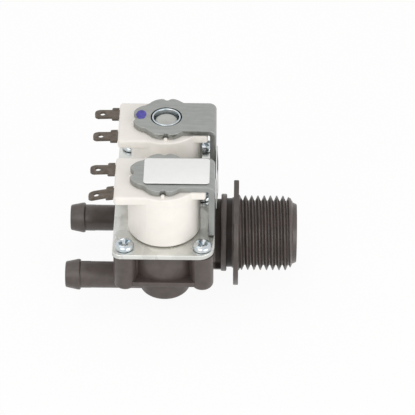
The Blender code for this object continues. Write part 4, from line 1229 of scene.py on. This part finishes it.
class VALVE_OT_stage(bpy.types.Operator):
    """Lays the floor and sets the lamps, the sky and the camera"""

    bl_idname = "valve.stage"
    bl_label = "Stage"

    def execute(self, context):
        stage = context.scene.valve_stage
        bm = bmesh.new()
        for x, y in ((-1, -1), (1, -1), (1, 1), (-1, 1)):
            bm.verts.new((x * FLOOR_REACH, y * FLOOR_REACH, 0))
        bm.faces.new(bm.verts)
        mesh = bpy.data.meshes.new("floor")
        bm.to_mesh(mesh)
        bm.free()
        floor = add_object("floor", mesh)
        floor.location.z = CAD_LOW.z - FLOOR_DROP
        mesh.materials.append(floor_material())
        for name, share, size, place in LAMPS:
            lamp(name, stage.key * share, size, place)
        world = bpy.data.worlds.new("studio")
        context.scene.world = world
        world.use_nodes = True
        tree = world.node_tree
        background = tree.nodes["Background"]
        background.inputs["Color"].default_value = (1, 1, 1, 1)
        # The sky lights the object at its own strength, and is plain white to the eye.
        level = add_node(tree, "ShaderNodeMapRange", {"To Min": stage.world, "To Max": 1.0},
                         {"Value": seen(tree)})
        tree.links.new(level.outputs["Result"], background.inputs["Strength"])
        context.scene.view_settings.view_transform = "Standard"
        aim_camera(stage)
        return {"FINISHED"}


# Panel and registration

STEPS = (
    VALVE_OT_body, VALVE_OT_base_plate, VALVE_OT_coil_covers, VALVE_OT_yokes, VALVE_OT_terminals,
    VALVE_OT_screws, VALVE_OT_labels, VALVE_OT_sleeves, VALVE_OT_strainer, VALVE_OT_inner_parts,
    VALVE_OT_stage,
)


class VALVE_PT_panel(bpy.types.Panel):
    """Lists the steps, the sizes and the colours"""

    bl_idname = "VALVE_PT_panel"
    bl_label = "Inlet valve"
    bl_space_type = "VIEW_3D"
    bl_region_type = "UI"
    bl_category = "Valve"

    def draw(self, context):
        column = self.layout.column()
        for step in STEPS:
            column.operator(step.bl_idname)
        for group in (context.scene.valve_sizes, context.scene.valve_colours, context.scene.valve_stage):
            column.separator()
            for name in group.bl_rna.properties.keys():
                if name not in ("rna_type", "name"):
                    column.prop(group, name)


GROUPS = (ValveSizes, ValveColours, ValveStage)


def register():
    """Registers the settings, the operators and the panel."""
    for cls in GROUPS + STEPS + (VALVE_PT_panel,):
        bpy.utils.register_class(cls)
    bpy.types.Scene.valve_sizes = bpy.props.PointerProperty(type=ValveSizes)
    bpy.types.Scene.valve_colours = bpy.props.PointerProperty(type=ValveColours)
    bpy.types.Scene.valve_stage = bpy.props.PointerProperty(type=ValveStage)


def unregister():
    """Takes back what register added."""
    del bpy.types.Scene.valve_stage
    del bpy.types.Scene.valve_colours
    del bpy.types.Scene.valve_sizes
    for cls in reversed(GROUPS + STEPS + (VALVE_PT_panel,)):
        bpy.utils.unregister_class(cls)


def main():
    """Builds every piece in order."""
    register()
    bpy.ops.valve.body()
    bpy.ops.valve.base_plate()
    bpy.ops.valve.coil_covers()
    bpy.ops.valve.yokes()
    bpy.ops.valve.terminals()
    bpy.ops.valve.screws()
    bpy.ops.valve.labels()
    bpy.ops.valve.sleeves()
    bpy.ops.valve.strainer()
    bpy.ops.valve.inner_parts()
    bpy.ops.valve.stage()


if __name__ == "__main__":
    main()
